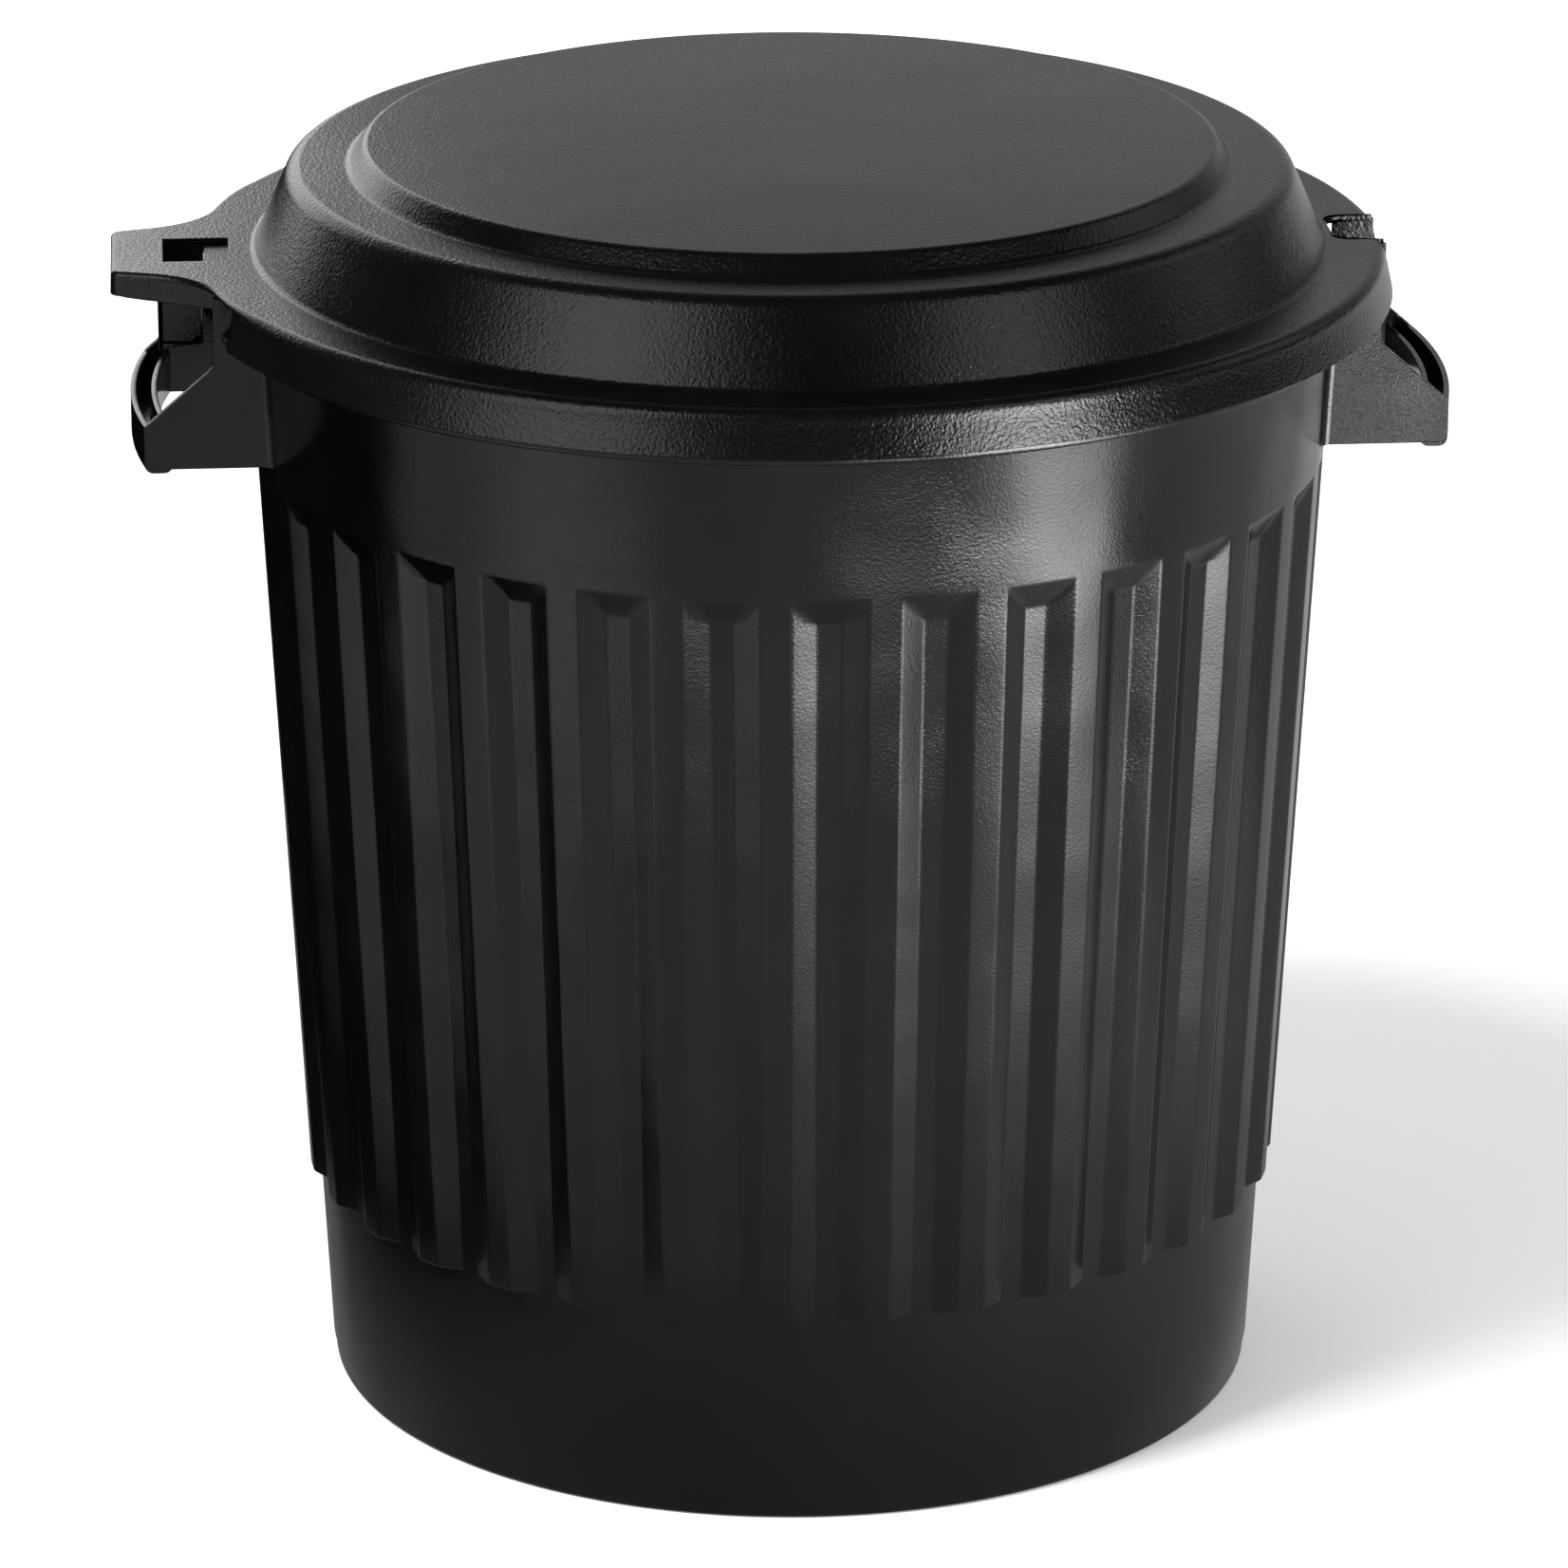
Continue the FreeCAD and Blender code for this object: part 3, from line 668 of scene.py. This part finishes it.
def flute_sector():
    """One flute with half a rib on each side, all the way round the wall's section."""
    points = []
    strips = []
    for radius, z, side, drop in can_rows():
        if radius == 0:
            strips.append([len(points)])
            points.append((0, 0, z))
            continue
        strip = []
        level = min(max(z, RIB_BOTTOM), FLUTE_TOP)
        for y in flute_columns(z):
            angle = y / land_radius(level)
            reach = radius
            if side > 0:
                reach += max(relief(y, z) - drop, 0.0)
            if side < 0:
                reach += max(relief(y, z, INNER_WIDEN, INNER_RAISE) - drop, 0.0)
            strip.append(len(points))
            points.append((reach * math.cos(angle), reach * math.sin(angle), z))
        strips.append(strip)
    faces = []
    for low, high in zip(strips, strips[1:]):
        for i in range(max(len(low), len(high)) - 1):
            if len(low) == 1:
                faces.append((low[0], high[i + 1], high[i]))
            elif len(high) == 1:
                faces.append((low[i], low[i + 1], high[0]))
            else:
                faces.append((low[i], low[i + 1], high[i + 1], high[i]))
    return points, faces


def ring_of_flutes():
    """Geometry node tree that sets copies of a sector round the axis and joins them."""
    tree = bpy.data.node_groups.new("ring_of_flutes", "GeometryNodeTree")
    tree.interface.new_socket(name="Sector", in_out="INPUT", socket_type="NodeSocketGeometry")
    count = tree.interface.new_socket(name="Flutes", in_out="INPUT", socket_type="NodeSocketInt")
    seam = tree.interface.new_socket(name="Seam", in_out="INPUT", socket_type="NodeSocketFloat")
    finish = tree.interface.new_socket(name="Plastic", in_out="INPUT", socket_type="NodeSocketMaterial")
    tree.interface.new_socket(name="Wall", in_out="OUTPUT", socket_type="NodeSocketGeometry")
    entry = tree.nodes.new("NodeGroupInput")
    leave = tree.nodes.new("NodeGroupOutput")
    spots = tree.nodes.new("GeometryNodePoints")
    copies = tree.nodes.new("GeometryNodeInstanceOnPoints")
    order = tree.nodes.new("GeometryNodeInputIndex")
    pitch = tree.nodes.new("ShaderNodeMath")
    pitch.operation = "DIVIDE"
    pitch.inputs[0].default_value = 2 * math.pi
    turn = tree.nodes.new("ShaderNodeMath")
    turn.operation = "MULTIPLY"
    about = tree.nodes.new("ShaderNodeCombineXYZ")
    real = tree.nodes.new("GeometryNodeRealizeInstances")
    joined = tree.nodes.new("GeometryNodeMergeByDistance")
    coat = tree.nodes.new("GeometryNodeSetMaterial")
    link = tree.links.new
    link(entry.outputs["Flutes"], spots.inputs["Count"])
    link(entry.outputs["Flutes"], pitch.inputs[1])
    link(order.outputs[0], turn.inputs[0])
    link(pitch.outputs[0], turn.inputs[1])
    link(turn.outputs[0], about.inputs["Z"])
    link(spots.outputs[0], copies.inputs["Points"])
    link(entry.outputs["Sector"], copies.inputs["Instance"])
    link(about.outputs[0], copies.inputs["Rotation"])
    link(copies.outputs[0], real.inputs[0])
    link(real.outputs[0], joined.inputs["Geometry"])
    link(entry.outputs["Seam"], joined.inputs["Distance"])
    link(joined.outputs[0], coat.inputs["Geometry"])
    link(entry.outputs["Plastic"], coat.inputs["Material"])
    link(coat.outputs[0], leave.inputs[0])
    return tree, {"Flutes": count.identifier, "Seam": seam.identifier, "Plastic": finish.identifier}


def can_wall(material):
    """Wall of the can, with the pattern of flutes already made into plain mesh."""
    holder = bpy.data.objects.new("flute_sector", mesh_of("flute_sector", *flute_sector()))
    bpy.context.scene.collection.objects.link(holder)
    tree, names = ring_of_flutes()
    pattern = holder.modifiers.new("ring_of_flutes", "NODES")
    pattern.node_group = tree
    pattern[names["Flutes"]] = FLUTE_COUNT
    pattern[names["Seam"]] = SEAM * MM
    pattern[names["Plastic"]] = material
    ready = holder.evaluated_get(bpy.context.evaluated_depsgraph_get())
    mesh = bpy.data.meshes.new_from_object(ready)
    holder.modifiers.clear()
    bpy.data.objects.remove(holder)
    face_outwards(mesh)
    return placed("can_wall", mesh, material)


# Handles


def wall_x(y, z):
    return math.sqrt(land_radius(z) ** 2 - y ** 2)


def add_grip(mould, side):
    """Bowed carrying bar, a channel open at the top, between the two gussets."""
    inner = GRIP_RADIUS - GRIP_WIDTH
    groove = GRIP_TOP - GRIP_GROOVE
    section = closed_rounded([
        (inner, GRIP_TOP, MOULD_EDGE),
        (inner, GRIP_LOW, GRIP_ROUND),
        (GRIP_RADIUS, GRIP_LOW, GRIP_ROUND),
        (GRIP_RADIUS, GRIP_TOP, MOULD_EDGE),
        (GRIP_RADIUS - GRIP_WALL, GRIP_TOP, MOULD_EDGE),
        (GRIP_RADIUS - GRIP_WALL, groove, GROOVE_ROUND),
        (inner + GRIP_WALL, groove, GROOVE_ROUND),
        (inner + GRIP_WALL, GRIP_TOP, MOULD_EDGE),
    ])
    end = HANDLE_HALF - GUSSET_THICK / 2
    layers = []
    for i in range(GRIP_STATIONS + 1):
        y = end * (2 * i / GRIP_STATIONS - 1)
        layers.append([Vector((side * math.sqrt(r * r - y * y), y, z)) for r, z in section])
    mould.loft(layers)


def add_gusset(mould, side, y_side, top):
    """Upright plate from the can's wall to one end of the grip, with its moulded roots."""
    outer = y_side * HANDLE_HALF
    inner = y_side * (HANDLE_HALF - GUSSET_THICK)
    root = wall_x(HANDLE_HALF, GUSSET_LOW) - CAN_WALL / 2
    root_top = wall_x(HANDLE_HALF, top) - CAN_WALL / 2
    tip = math.sqrt(GRIP_RADIUS ** 2 - HANDLE_HALF ** 2)
    outline = rounded([
        (root, GUSSET_LOW, 0),
        (tip, GUSSET_LOW, GRIP_ROUND),
        (tip, GRIP_TOP, GUSSET_CORNER),
        (NECK_RADIUS, NECK_Z, NECK_ROUND),
        (NECK_RADIUS, top, GUSSET_CORNER),
        (root_top, top, 0),
    ])
    outline = [(side * x, z) for x, z in outline]
    far = side * (tip - CLOSE)

    def at_tip(point):
        return abs(point.y - outer) < CLOSE and point.x * side > far * side

    mould.plate(outline, min(outer, inner), max(outer, inner), MOULD_EDGE, (at_tip, GRIP_CORNER))
    for face, away in ((outer, y_side), (inner, -y_side)):
        layers = []
        for z in (GUSSET_LOW, FLANGE_LOW + ROOT_BITE):
            near = wall_x(face, z)
            beside = wall_x(face + away * ROOT_ROUND, z)
            lean = (near - beside) / ROOT_ROUND
            loop = [Vector((side * (near - ROOT_SINK), face - away, z))]
            for i in range(QUARTER_STEPS + 1):
                angle = math.pi / 2 * i / QUARTER_STEPS
                out = ROOT_ROUND * (1 - math.cos(angle))
                across = ROOT_ROUND * (1 - math.sin(angle))
                loop.append(Vector((side * (near + out - across * lean), face + away * across, z)))
            layers.append(loop)
        mould.loft(layers)


def handles(material):
    mould = Mould()
    for side, top in ((1, FLANGE_LOW + GUSSET_BITE), (-1, LEFT_NECK_TOP)):
        add_grip(mould, side)
        for y_side in (-1, 1):
            add_gusset(mould, side, y_side, top)
    return mould.piece("carrying_handles", material)


def catch_block(material):
    """Block on the rim flange that shows in the lid's window."""
    mould = Mould()
    root = land_radius(FLANGE_LOW) - CAN_WALL / 2
    foot = FLANGE_LOW + CATCH_BITE
    outline = [(-FLANGE_RADIUS, foot), (-FLANGE_RADIUS, CATCH_TOP), (-root, CATCH_TOP), (-root, foot)]
    mould.plate(outline, -CATCH_HALF, CATCH_HALF, CATCH_EDGE)
    return mould.piece("catch_block", material)


# Lid


def arc_points(centre, radius, start, end, count):
    """Points on an arc with their direction from the centre."""
    found = []
    for i in range(count + 1):
        angle = start + (end - start) * i / count
        away = Vector((math.cos(angle), math.sin(angle)))
        found.append((Vector(centre) + away * radius, away))
    return found


def rim_columns():
    """Half of the lid's outline from the tab's end to the notch's end.

    Each column is (point, outward direction, rounding, depth, lean)."""
    columns = []
    side_out = Vector((-TAB_SLANT.y, TAB_SLANT.x))
    tip = Vector((-TAB_REACH, TAB_HALF_OUTER))
    half = Vector((0, -1)).angle(TAB_SLANT) / 2
    corner_run = TAB_CORNER / math.tan(half)
    end_out = Vector((-1, 0))
    across = [WINDOW_HALF * i / WINDOW_STEPS for i in range(WINDOW_STEPS + 1)]
    for y in across + [WINDOW_FRAME, TAB_HALF_OUTER - corner_run]:
        columns.append((Vector((-TAB_REACH, y)), end_out, TAB_ROUND, TAB_DEPTH_OUTER, TAB_LEAN))
    centre = Vector((-TAB_REACH + TAB_CORNER, TAB_HALF_OUTER - corner_run))
    last = math.atan2(side_out.y, side_out.x)
    for point, out in arc_points(centre, TAB_CORNER, math.pi, last, QUARTER_STEPS)[1:]:
        columns.append((point, out, TAB_ROUND, TAB_DEPTH_OUTER, TAB_LEAN))

    reach = LID_RIM_RADIUS + TAB_BLEND
    base = tip + side_out * TAB_BLEND
    along = base.dot(TAB_SLANT)
    spread = math.sqrt(along * along - base.dot(base) + reach * reach)
    run = min((-along - spread, -along + spread), key=abs)
    centre = base + TAB_SLANT * run
    start = centre - side_out * TAB_BLEND
    from_point = columns[-1][0]
    for share in (0.25, 0.5, 0.75, 1.0):
        point = from_point.lerp(start, share)
        depth = TAB_DEPTH_OUTER + (TAB_REACH + point.x) * TAB_DEEPER
        columns.append((point, side_out, TAB_ROUND, depth, TAB_LEAN))
    first = math.atan2(-side_out.y, -side_out.x)
    last = math.atan2(-centre.y, -centre.x)
    blend = arc_points(centre, TAB_BLEND, first, last, BLEND_STEPS)
    beyond = start.lerp(blend[1][0], BLEND_NUDGE)
    columns.append((beyond, side_out, TAB_ROUND, LID_WALL, 0.0))
    for point, away in blend[1:]:
        columns.append((point, -away, TAB_ROUND, LID_WALL, 0.0))

    blend_end = math.degrees(math.atan2(columns[-1][0].y, columns[-1][0].x))
    gap_end = 180 - SKIRT_GAP_DEG
    notch_start = math.degrees(math.asin(NOTCH_HALF / LID_RIM_RADIUS))
    angles = [(blend_end + (gap_end - blend_end) * i / 3, False) for i in (1, 2, 3)]
    angles.append((gap_end - SKIRT_STEP_DEG, True))
    for i in range(1, SKIRT_STEPS + 1):
        angles.append((gap_end + (notch_start - gap_end) * i / SKIRT_STEPS, True))
    for degrees, skirted in angles:
        out = Vector((math.cos(math.radians(degrees)), math.sin(math.radians(degrees))))
        if skirted:
            grown = min((gap_end - degrees) / SKIRT_START_DEG, 1.0)
            rounding = TAB_ROUND + (LID_RIM_ROUND - TAB_ROUND) * eased(grown)
            columns.append((out * LID_RIM_RADIUS, out, rounding, SKIRT_DEPTH, SKIRT_LEAN))
        else:
            columns.append((out * LID_RIM_RADIUS, out, TAB_ROUND, LID_WALL, 0.0))

    corner_x = LID_RIM_RADIUS * math.cos(math.radians(notch_start))
    bend = NOTCH_INNER + NOTCH_ROUND
    into = Vector((0, -1))
    for x in [corner_x - step for step in CUT_STEPS] + [(corner_x + bend) / 2]:
        columns.append((Vector((x, NOTCH_HALF)), into, CUT_EDGE, LID_WALL, 0.0))
    centre = (bend, NOTCH_HALF - NOTCH_ROUND)
    for point, away in arc_points(centre, NOTCH_ROUND, math.pi / 2, math.pi, NOTCH_STEPS):
        columns.append((point, -away, CUT_EDGE, LID_WALL, 0.0))
    for y in NOTCH_MIDDLE:
        columns.append((Vector((NOTCH_INNER, y)), Vector((1, 0)), CUT_EDGE, LID_WALL, 0.0))
    return columns


def ledge_starts(columns):
    """Where each column leaves the dome: the same Y across the tab, the same angle elsewhere."""
    starts = []
    notch_first = next(i for i, c in enumerate(columns) if c[0].x > 0 and c[2] == CUT_EDGE)
    corner = columns[notch_first - 1][0]
    corner_angle = math.atan2(corner.y, corner.x)
    for i, column in enumerate(columns):
        point = column[0]
        if i >= notch_first:
            share = (i - notch_first + 1) / (len(columns) - notch_first)
            starts.append(corner_angle * (1 - share))
            continue
        angle = math.atan2(point.y, point.x)
        if point.x < 0 and point.y < FAN_HALF:
            straight = math.pi - math.asin(point.y / DOME_RADIUS)
            share = (point.y - STRAIGHT_HALF) / (FAN_HALF - STRAIGHT_HALF)
            share = eased(min(max(share, 0.0), 1.0))
            angle = straight * (1 - share) + angle * share
        starts.append(angle)
    return starts


def dome_path():
    """Outer and inner sections of the dome, from the middle to its foot."""
    outer = rounded([
        (0, LID_TOP, 0),
        (DISC_TOP_RADIUS, LID_TOP, DISC_ROUND),
        (DISC_RADIUS, SHOULDER_Z, DISC_ROUND),
        (SHOULDER_RADIUS, SHOULDER_Z, SHOULDER_ROUND),
        (DOME_RADIUS, LID_Z, DOME_FOOT_ROUND),
        (LEDGE_START, LID_Z, 0),
    ], DOME_STEP)
    inner = []
    for i, point in enumerate(outer):
        before = outer[max(i - 1, 0)]
        after = outer[min(i + 1, len(outer) - 1)]
        along = (after - before).normalized()
        inner.append(point + Vector((along.y, -along.x)) * LID_WALL)
    inner[0].x = 0
    return outer, inner


def ledge_point(column, start, share):
    """Point on the flat ledge, with rows at the window's edges across the tab."""
    point, out, rounding = column[:3]
    near = Vector((math.cos(start), math.sin(start))) * LEDGE_START
    edge = point - out * (rounding + EDGE_MARGIN)
    if point.x < -TAB_INNER and point.y <= WINDOW_FRAME:
        row = (WINDOW_NEAR, WINDOW_FAR)[share]
        return Vector((-row, point.y))
    return near.lerp(edge, LEDGE_SHARES[share])


def rim_section(column):
    """Rows (inset, height) over the edge, down the outside of the skirt and up its inside."""
    rounding, depth, lean = column[2:]
    low = LID_Z - depth
    skirted = depth > LID_WALL + 1
    rows = [(rounding + EDGE_MARGIN, LID_Z)]
    for i in range(QUARTER_STEPS + 1):
        angle = math.pi / 2 * i / QUARTER_STEPS
        down = rounding * (1 - math.cos(angle))
        if not skirted:
            down = min(down, LID_WALL - THIN_EDGE + THIN_STEP * i)
        rows.append((rounding * (1 - math.sin(angle)), LID_Z - down))
    top = rows[-1][1]
    for share in (0.3, 0.65, 1.0):
        rows.append((-lean * share, top + (low + LIP_EDGE - top) * share))
    rows.append((LIP_EDGE - lean, low))
    if skirted:
        rows.append((LID_WALL - LIP_EDGE - lean, low))
        rows.append((LID_WALL - lean, low + LIP_EDGE))
        rows.append((LID_WALL, LID_UNDER - UNDER_CREASE))
    else:
        rows += [(inset, LID_UNDER) for inset in THIN_INSETS]
    return rows + [(LID_WALL + UNDER_CREASE, LID_UNDER)]


def lid_sections():
    """Points of the lid's section at every column round the rim, over the top and back underneath.

    Also gives the numbers of the ledge's first row above and below."""
    half = rim_columns()
    columns = [(column, start, 1) for column, start in zip(half, ledge_starts(half))]
    columns += [(column, start, -1) for column, start, _ in columns[-2:0:-1]]
    outer, inner = dome_path()
    sections = []
    for column, start, mirror in columns:
        ray = Vector((math.cos(start), math.sin(start)))
        ledge = [ledge_point(column, start, share) for share in (0, 1)]
        section = [(ray.x * r, ray.y * r, z) for r, z in outer[1:]]
        section += [(spot.x, spot.y, LID_Z) for spot in ledge]
        for inset, z in rim_section(column):
            spot = column[0] - column[1] * inset
            section.append((spot.x, spot.y, z))
        section += [(spot.x, spot.y, LID_UNDER) for spot in reversed(ledge)]
        section += [(ray.x * r, ray.y * r, z) for r, z in reversed(inner[1:])]
        sections.append([(x, mirror * y, z) for x, y, z in section])
    return sections, len(outer) - 1, len(sections[0]) - len(inner)


def lid_shell(material):
    """Skin over the lid's sections, with the window left open in the tab."""
    sections, above, below = lid_sections()
    rows = len(sections[0])
    count = len(sections)
    points = [point for section in sections for point in section]
    strips = [range(k * rows, (k + 1) * rows) for k in range(count)]
    crown = len(points)
    points.append((0, 0, LID_TOP))
    points.append((0, 0, LID_TOP - LID_WALL))
    last = count - WINDOW_STEPS
    faces = []
    for k in range(count):
        opening = k < WINDOW_STEPS or k >= last
        here = strips[k]
        there = strips[(k + 1) % count]
        faces.append((crown, here[0], there[0]))
        faces.append((crown + 1, there[-1], here[-1]))
        for i in range(rows - 1):
            if opening and i in (above, below - 1):
                continue
            faces.append((here[i], here[i + 1], there[i + 1], there[i]))
        if opening:
            faces.append((here[above], there[above], there[below], here[below]))
            faces.append((there[above + 1], here[above + 1], here[below - 1], there[below - 1]))
    for k, flip in ((WINDOW_STEPS, False), (last, True)):
        edge = strips[k]
        wall = (edge[above], edge[above + 1], edge[below - 1], edge[below])
        faces.append(wall[::-1] if flip else wall)
    return finished("lid_shell", points, faces, material)


def add_cheek(mould, y_side):
    """Straight wall under the tab's side, from the outer corner to where the rim blends in."""
    inward = Vector((TAB_SLANT.y, -TAB_SLANT.x)) * (LID_WALL - CHEEK_INSET)
    skin = Vector((TAB_SLANT.y, -TAB_SLANT.x)) * CHEEK_INSET
    top = LID_UNDER + LID_WALL / 2
    begin = -TAB_REACH + 2 * TAB_CORNER
    layers = []
    for x, edge in ((begin, 0.0), (-CHEEK_END - CHEEK_EDGE, 0.0), (-CHEEK_END, CHEEK_EDGE)):
        run = (x + TAB_REACH) / TAB_SLANT.x
        outer = Vector((-TAB_REACH, TAB_HALF_OUTER)) + TAB_SLANT * run + skin
        inner = outer + inward
        outer = outer.lerp(inner, edge / LID_WALL)
        inner = inner.lerp(outer, edge / LID_WALL)
        low = LID_Z - TAB_DEPTH_OUTER - (x + TAB_REACH) * TAB_DEEPER
        loop = [(outer, top), (outer, low + CHEEK_EDGE), (outer.lerp(inner, CHEEK_BEVEL), low)]
        loop += [(outer.lerp(inner, 1 - CHEEK_BEVEL), low), (inner, low + CHEEK_EDGE), (inner, top)]
        layers.append([Vector((spot.x, y_side * spot.y, z)) for spot, z in loop])
    mould.loft(layers)


def snap_hook(material):
    """Two webs, a back wall and an inturned foot under the tab, beside its two cheeks."""
    mould = Mould()
    for y_side in (-1, 1):
        add_cheek(mould, y_side)
    half = WINDOW_HALF + HOOK_WALL
    top = LID_UNDER + HOOK_BITE
    foot_top = HOOK_LOW + HOOK_FOOT
    front = -HOOK_OUTER + HOOK_WALL
    back = [(-HOOK_OUTER, HOOK_LOW), (front, HOOK_LOW), (front, top), (-HOOK_OUTER, top)]
    mould.plate(back, -half, half, MOULD_EDGE)
    foot = [
        (-HOOK_OUTER, HOOK_LOW),
        (-HOOK_TIP, HOOK_LOW + HOOK_LIP),
        (-HOOK_TIP, foot_top + HOOK_LIP),
        (-HOOK_TIP - HOOK_WALL, foot_top + HOOK_LIP),
        (-HOOK_TIP - 2 * HOOK_WALL, foot_top),
        (-HOOK_OUTER, foot_top),
    ]
    mould.plate(foot, -half, half, MOULD_EDGE)
    web = [
        (-HOOK_OUTER, HOOK_LOW + HOOK_LIP),
        (-HOOK_OUTER + HOOK_WEB, HOOK_LOW + HOOK_LIP),
        (-HOOK_OUTER + HOOK_WEB, HOOK_RIB_LOW),
        (-HOOK_RIB_END, HOOK_RIB_LOW),
        (-HOOK_RIB_END, top),
        (-HOOK_OUTER, top),
    ]
    for y_low in (-half, WINDOW_HALF):
        mould.plate(web, y_low, y_low + HOOK_WALL, MOULD_EDGE)
    return mould.piece("snap_hook", material)


def notch_walls(material):
    """Walls under the two sides of the notch that close the ends of the skirt."""
    mould = Mould()
    top = LID_UNDER + HOOK_BITE
    outline = [
        (NOTCH_WALL_ROOT, NOTCH_WALL_LOW),
        (NOTCH_WALL_TIP, NOTCH_WALL_LOW),
        (NOTCH_WALL_TIP, top),
        (NOTCH_WALL_ROOT, top),
    ]
    for y_low in (-NOTCH_HALF - LID_WALL, NOTCH_HALF):
        mould.plate(outline, y_low, y_low + LID_WALL, MOULD_EDGE)
    return mould.piece("notch_walls", material)


# Stage, light and camera


# Soft lights in metres: name, place, aim, size, brightness, and whether gloss sees them
SOFT_BOXES = (
    ("overhead_fill", (0, 3.0, 3.4), (0, 3.0, 0), (7.0, 7.0), 1.0, False),
    ("left_key", (-1.25, -1.0, 3.0), (0, 0, 0.1), (1.0, 1.0), 42.0, False),
    ("front_left_box", (-1.42, -1.4, 1.3), (0, 0, 0.5), (1.4, 1.8), 1.6, True),
    ("front_right_box", (1.45, -1.4, 1.65), (0, 0, 0.5), (1.1, 1.2), 1.0, True),
    ("standing_box", (0.84, -1.13, 0.38), (0, 0, 0.5), (0.5, 0.75), 13.0, True),
    ("right_box", (2.0, 0.4, 1.5), (0, 0, 0.5), (1.4, 1.2), 0.42, True),
    ("back_left_panel", (-1.05, 1.6, 1.1), (-1.05, 0, 0.8), (1.6, 1.1), 1.5, True),
)
FLOOR_REACH = 9.0

# Camera, in metres and millimetres of lens
CAMERA_LENS = 192.4
CAMERA_SENSOR = 36
CAMERA_AWAY = 3.460
CAMERA_SWING = math.radians(4.2)
CAMERA_HEIGHT = 1.485
CAMERA_AIM = (-0.0025, 0, 0.26)


def soft_box(name, place, aim, size, radiance, in_gloss):
    """Flat soft light of a given brightness; some only fill and aren't seen in gloss."""
    light = bpy.data.lights.new(name, "AREA")
    light.shape = "RECTANGLE"
    light.size, light.size_y = size
    light.energy = radiance * math.pi * size[0] * size[1]
    holder = bpy.data.objects.new(name, light)
    holder.location = place
    holder.rotation_euler = (Vector(aim) - Vector(place)).to_track_quat("-Z", "Y").to_euler()
    holder.visible_camera = False
    holder.visible_glossy = in_gloss
    bpy.context.scene.collection.objects.link(holder)


def studio_air():
    """Dim room that is lighter behind the object."""
    world = bpy.data.worlds.new("studio_air")
    world.use_nodes = True
    tree = world.node_tree
    split = tree.nodes.new("ShaderNodeSeparateXYZ")
    tree.links.new(tree.nodes.new("ShaderNodeTexCoord").outputs["Generated"], split.inputs[0])
    air = tree.nodes["Background"]
    air.inputs["Color"].default_value = (1, 1, 1, 1)
    tree.links.new(ramp(tree, split.outputs["Y"], 0.55, 0.92, 0.02, 0.39), air.inputs["Strength"])
    return world


def studio():
    mesh = bpy.data.meshes.new("studio_floor")
    signs = ((-1, -1), (1, -1), (1, 1), (-1, 1))
    corners = [(x * FLOOR_REACH, y * FLOOR_REACH, 0) for x, y in signs]
    mesh.from_pydata(corners, [], [(0, 1, 2, 3)])
    mesh.materials.append(studio_floor())
    floor = bpy.data.objects.new("studio_floor", mesh)
    bpy.context.scene.collection.objects.link(floor)

    scene = bpy.context.scene
    scene.world = studio_air()
    for box in SOFT_BOXES:
        soft_box(*box)
    scene.view_settings.view_transform = "Standard"


def photo_camera():
    lens = bpy.data.cameras.new("photo_camera")
    lens.lens = CAMERA_LENS
    lens.sensor_width = CAMERA_SENSOR
    lens.clip_end = 100
    camera = bpy.data.objects.new("photo_camera", lens)
    across = -CAMERA_AWAY * math.sin(CAMERA_SWING)
    camera.location = (across, -CAMERA_AWAY * math.cos(CAMERA_SWING), CAMERA_HEIGHT)
    aim = Vector(CAMERA_AIM)
    camera.rotation_euler = (aim - camera.location).to_track_quat("-Z", "Y").to_euler()
    bpy.context.scene.collection.objects.link(camera)
    bpy.context.scene.camera = camera


GLOSS = {
    "Grain Scale": 900.0,
    "Grain Depth": 0.05,
    "Sink Scale": 16.0,
    "Sink Depth": 1.0,
    "Patch Scale": 11.0,
    "Speck Scale": 240.0,
    "Speck Share": 0.1,
    "dark": (0.0012, 0.0012, 0.0013, 1),
    "pale": (0.0025, 0.0025, 0.0026, 1),
    "dust": (0.03, 0.03, 0.03, 1),
    "rough low": 0.09,
    "rough high": 0.16,
    "bump": 0.002,
    "specular": 0.5,
}
SATIN = {
    "Grain Scale": 650.0,
    "Grain Depth": 0.24,
    "Sink Scale": 12.0,
    "Sink Depth": 0.6,
    "Patch Scale": 14.0,
    "Speck Scale": 320.0,
    "Speck Share": 0.03,
    "dark": (0.0012, 0.0012, 0.0013, 1),
    "pale": (0.0022, 0.0022, 0.0023, 1),
    "dust": (0.03, 0.03, 0.03, 1),
    "rough low": 0.17,
    "rough high": 0.23,
    "bump": 0.0012,
    "specular": 0.5,
}

SKIN = moulded_skin()
WEAR = handling_wear()
can_plastic = black_plastic("gloss_black_plastic", SKIN, WEAR, GLOSS)
lid_plastic = black_plastic("satin_black_plastic", SKIN, WEAR, SATIN)

wall = can_wall(can_plastic)
for part in (wall, handles(can_plastic), catch_block(can_plastic)):
    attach(part, "can")
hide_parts("can")

shell = lid_shell(lid_plastic)
for part in (shell, snap_hook(lid_plastic), notch_walls(lid_plastic)):
    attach(part, "lid")
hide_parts("lid")

studio()
photo_camera()
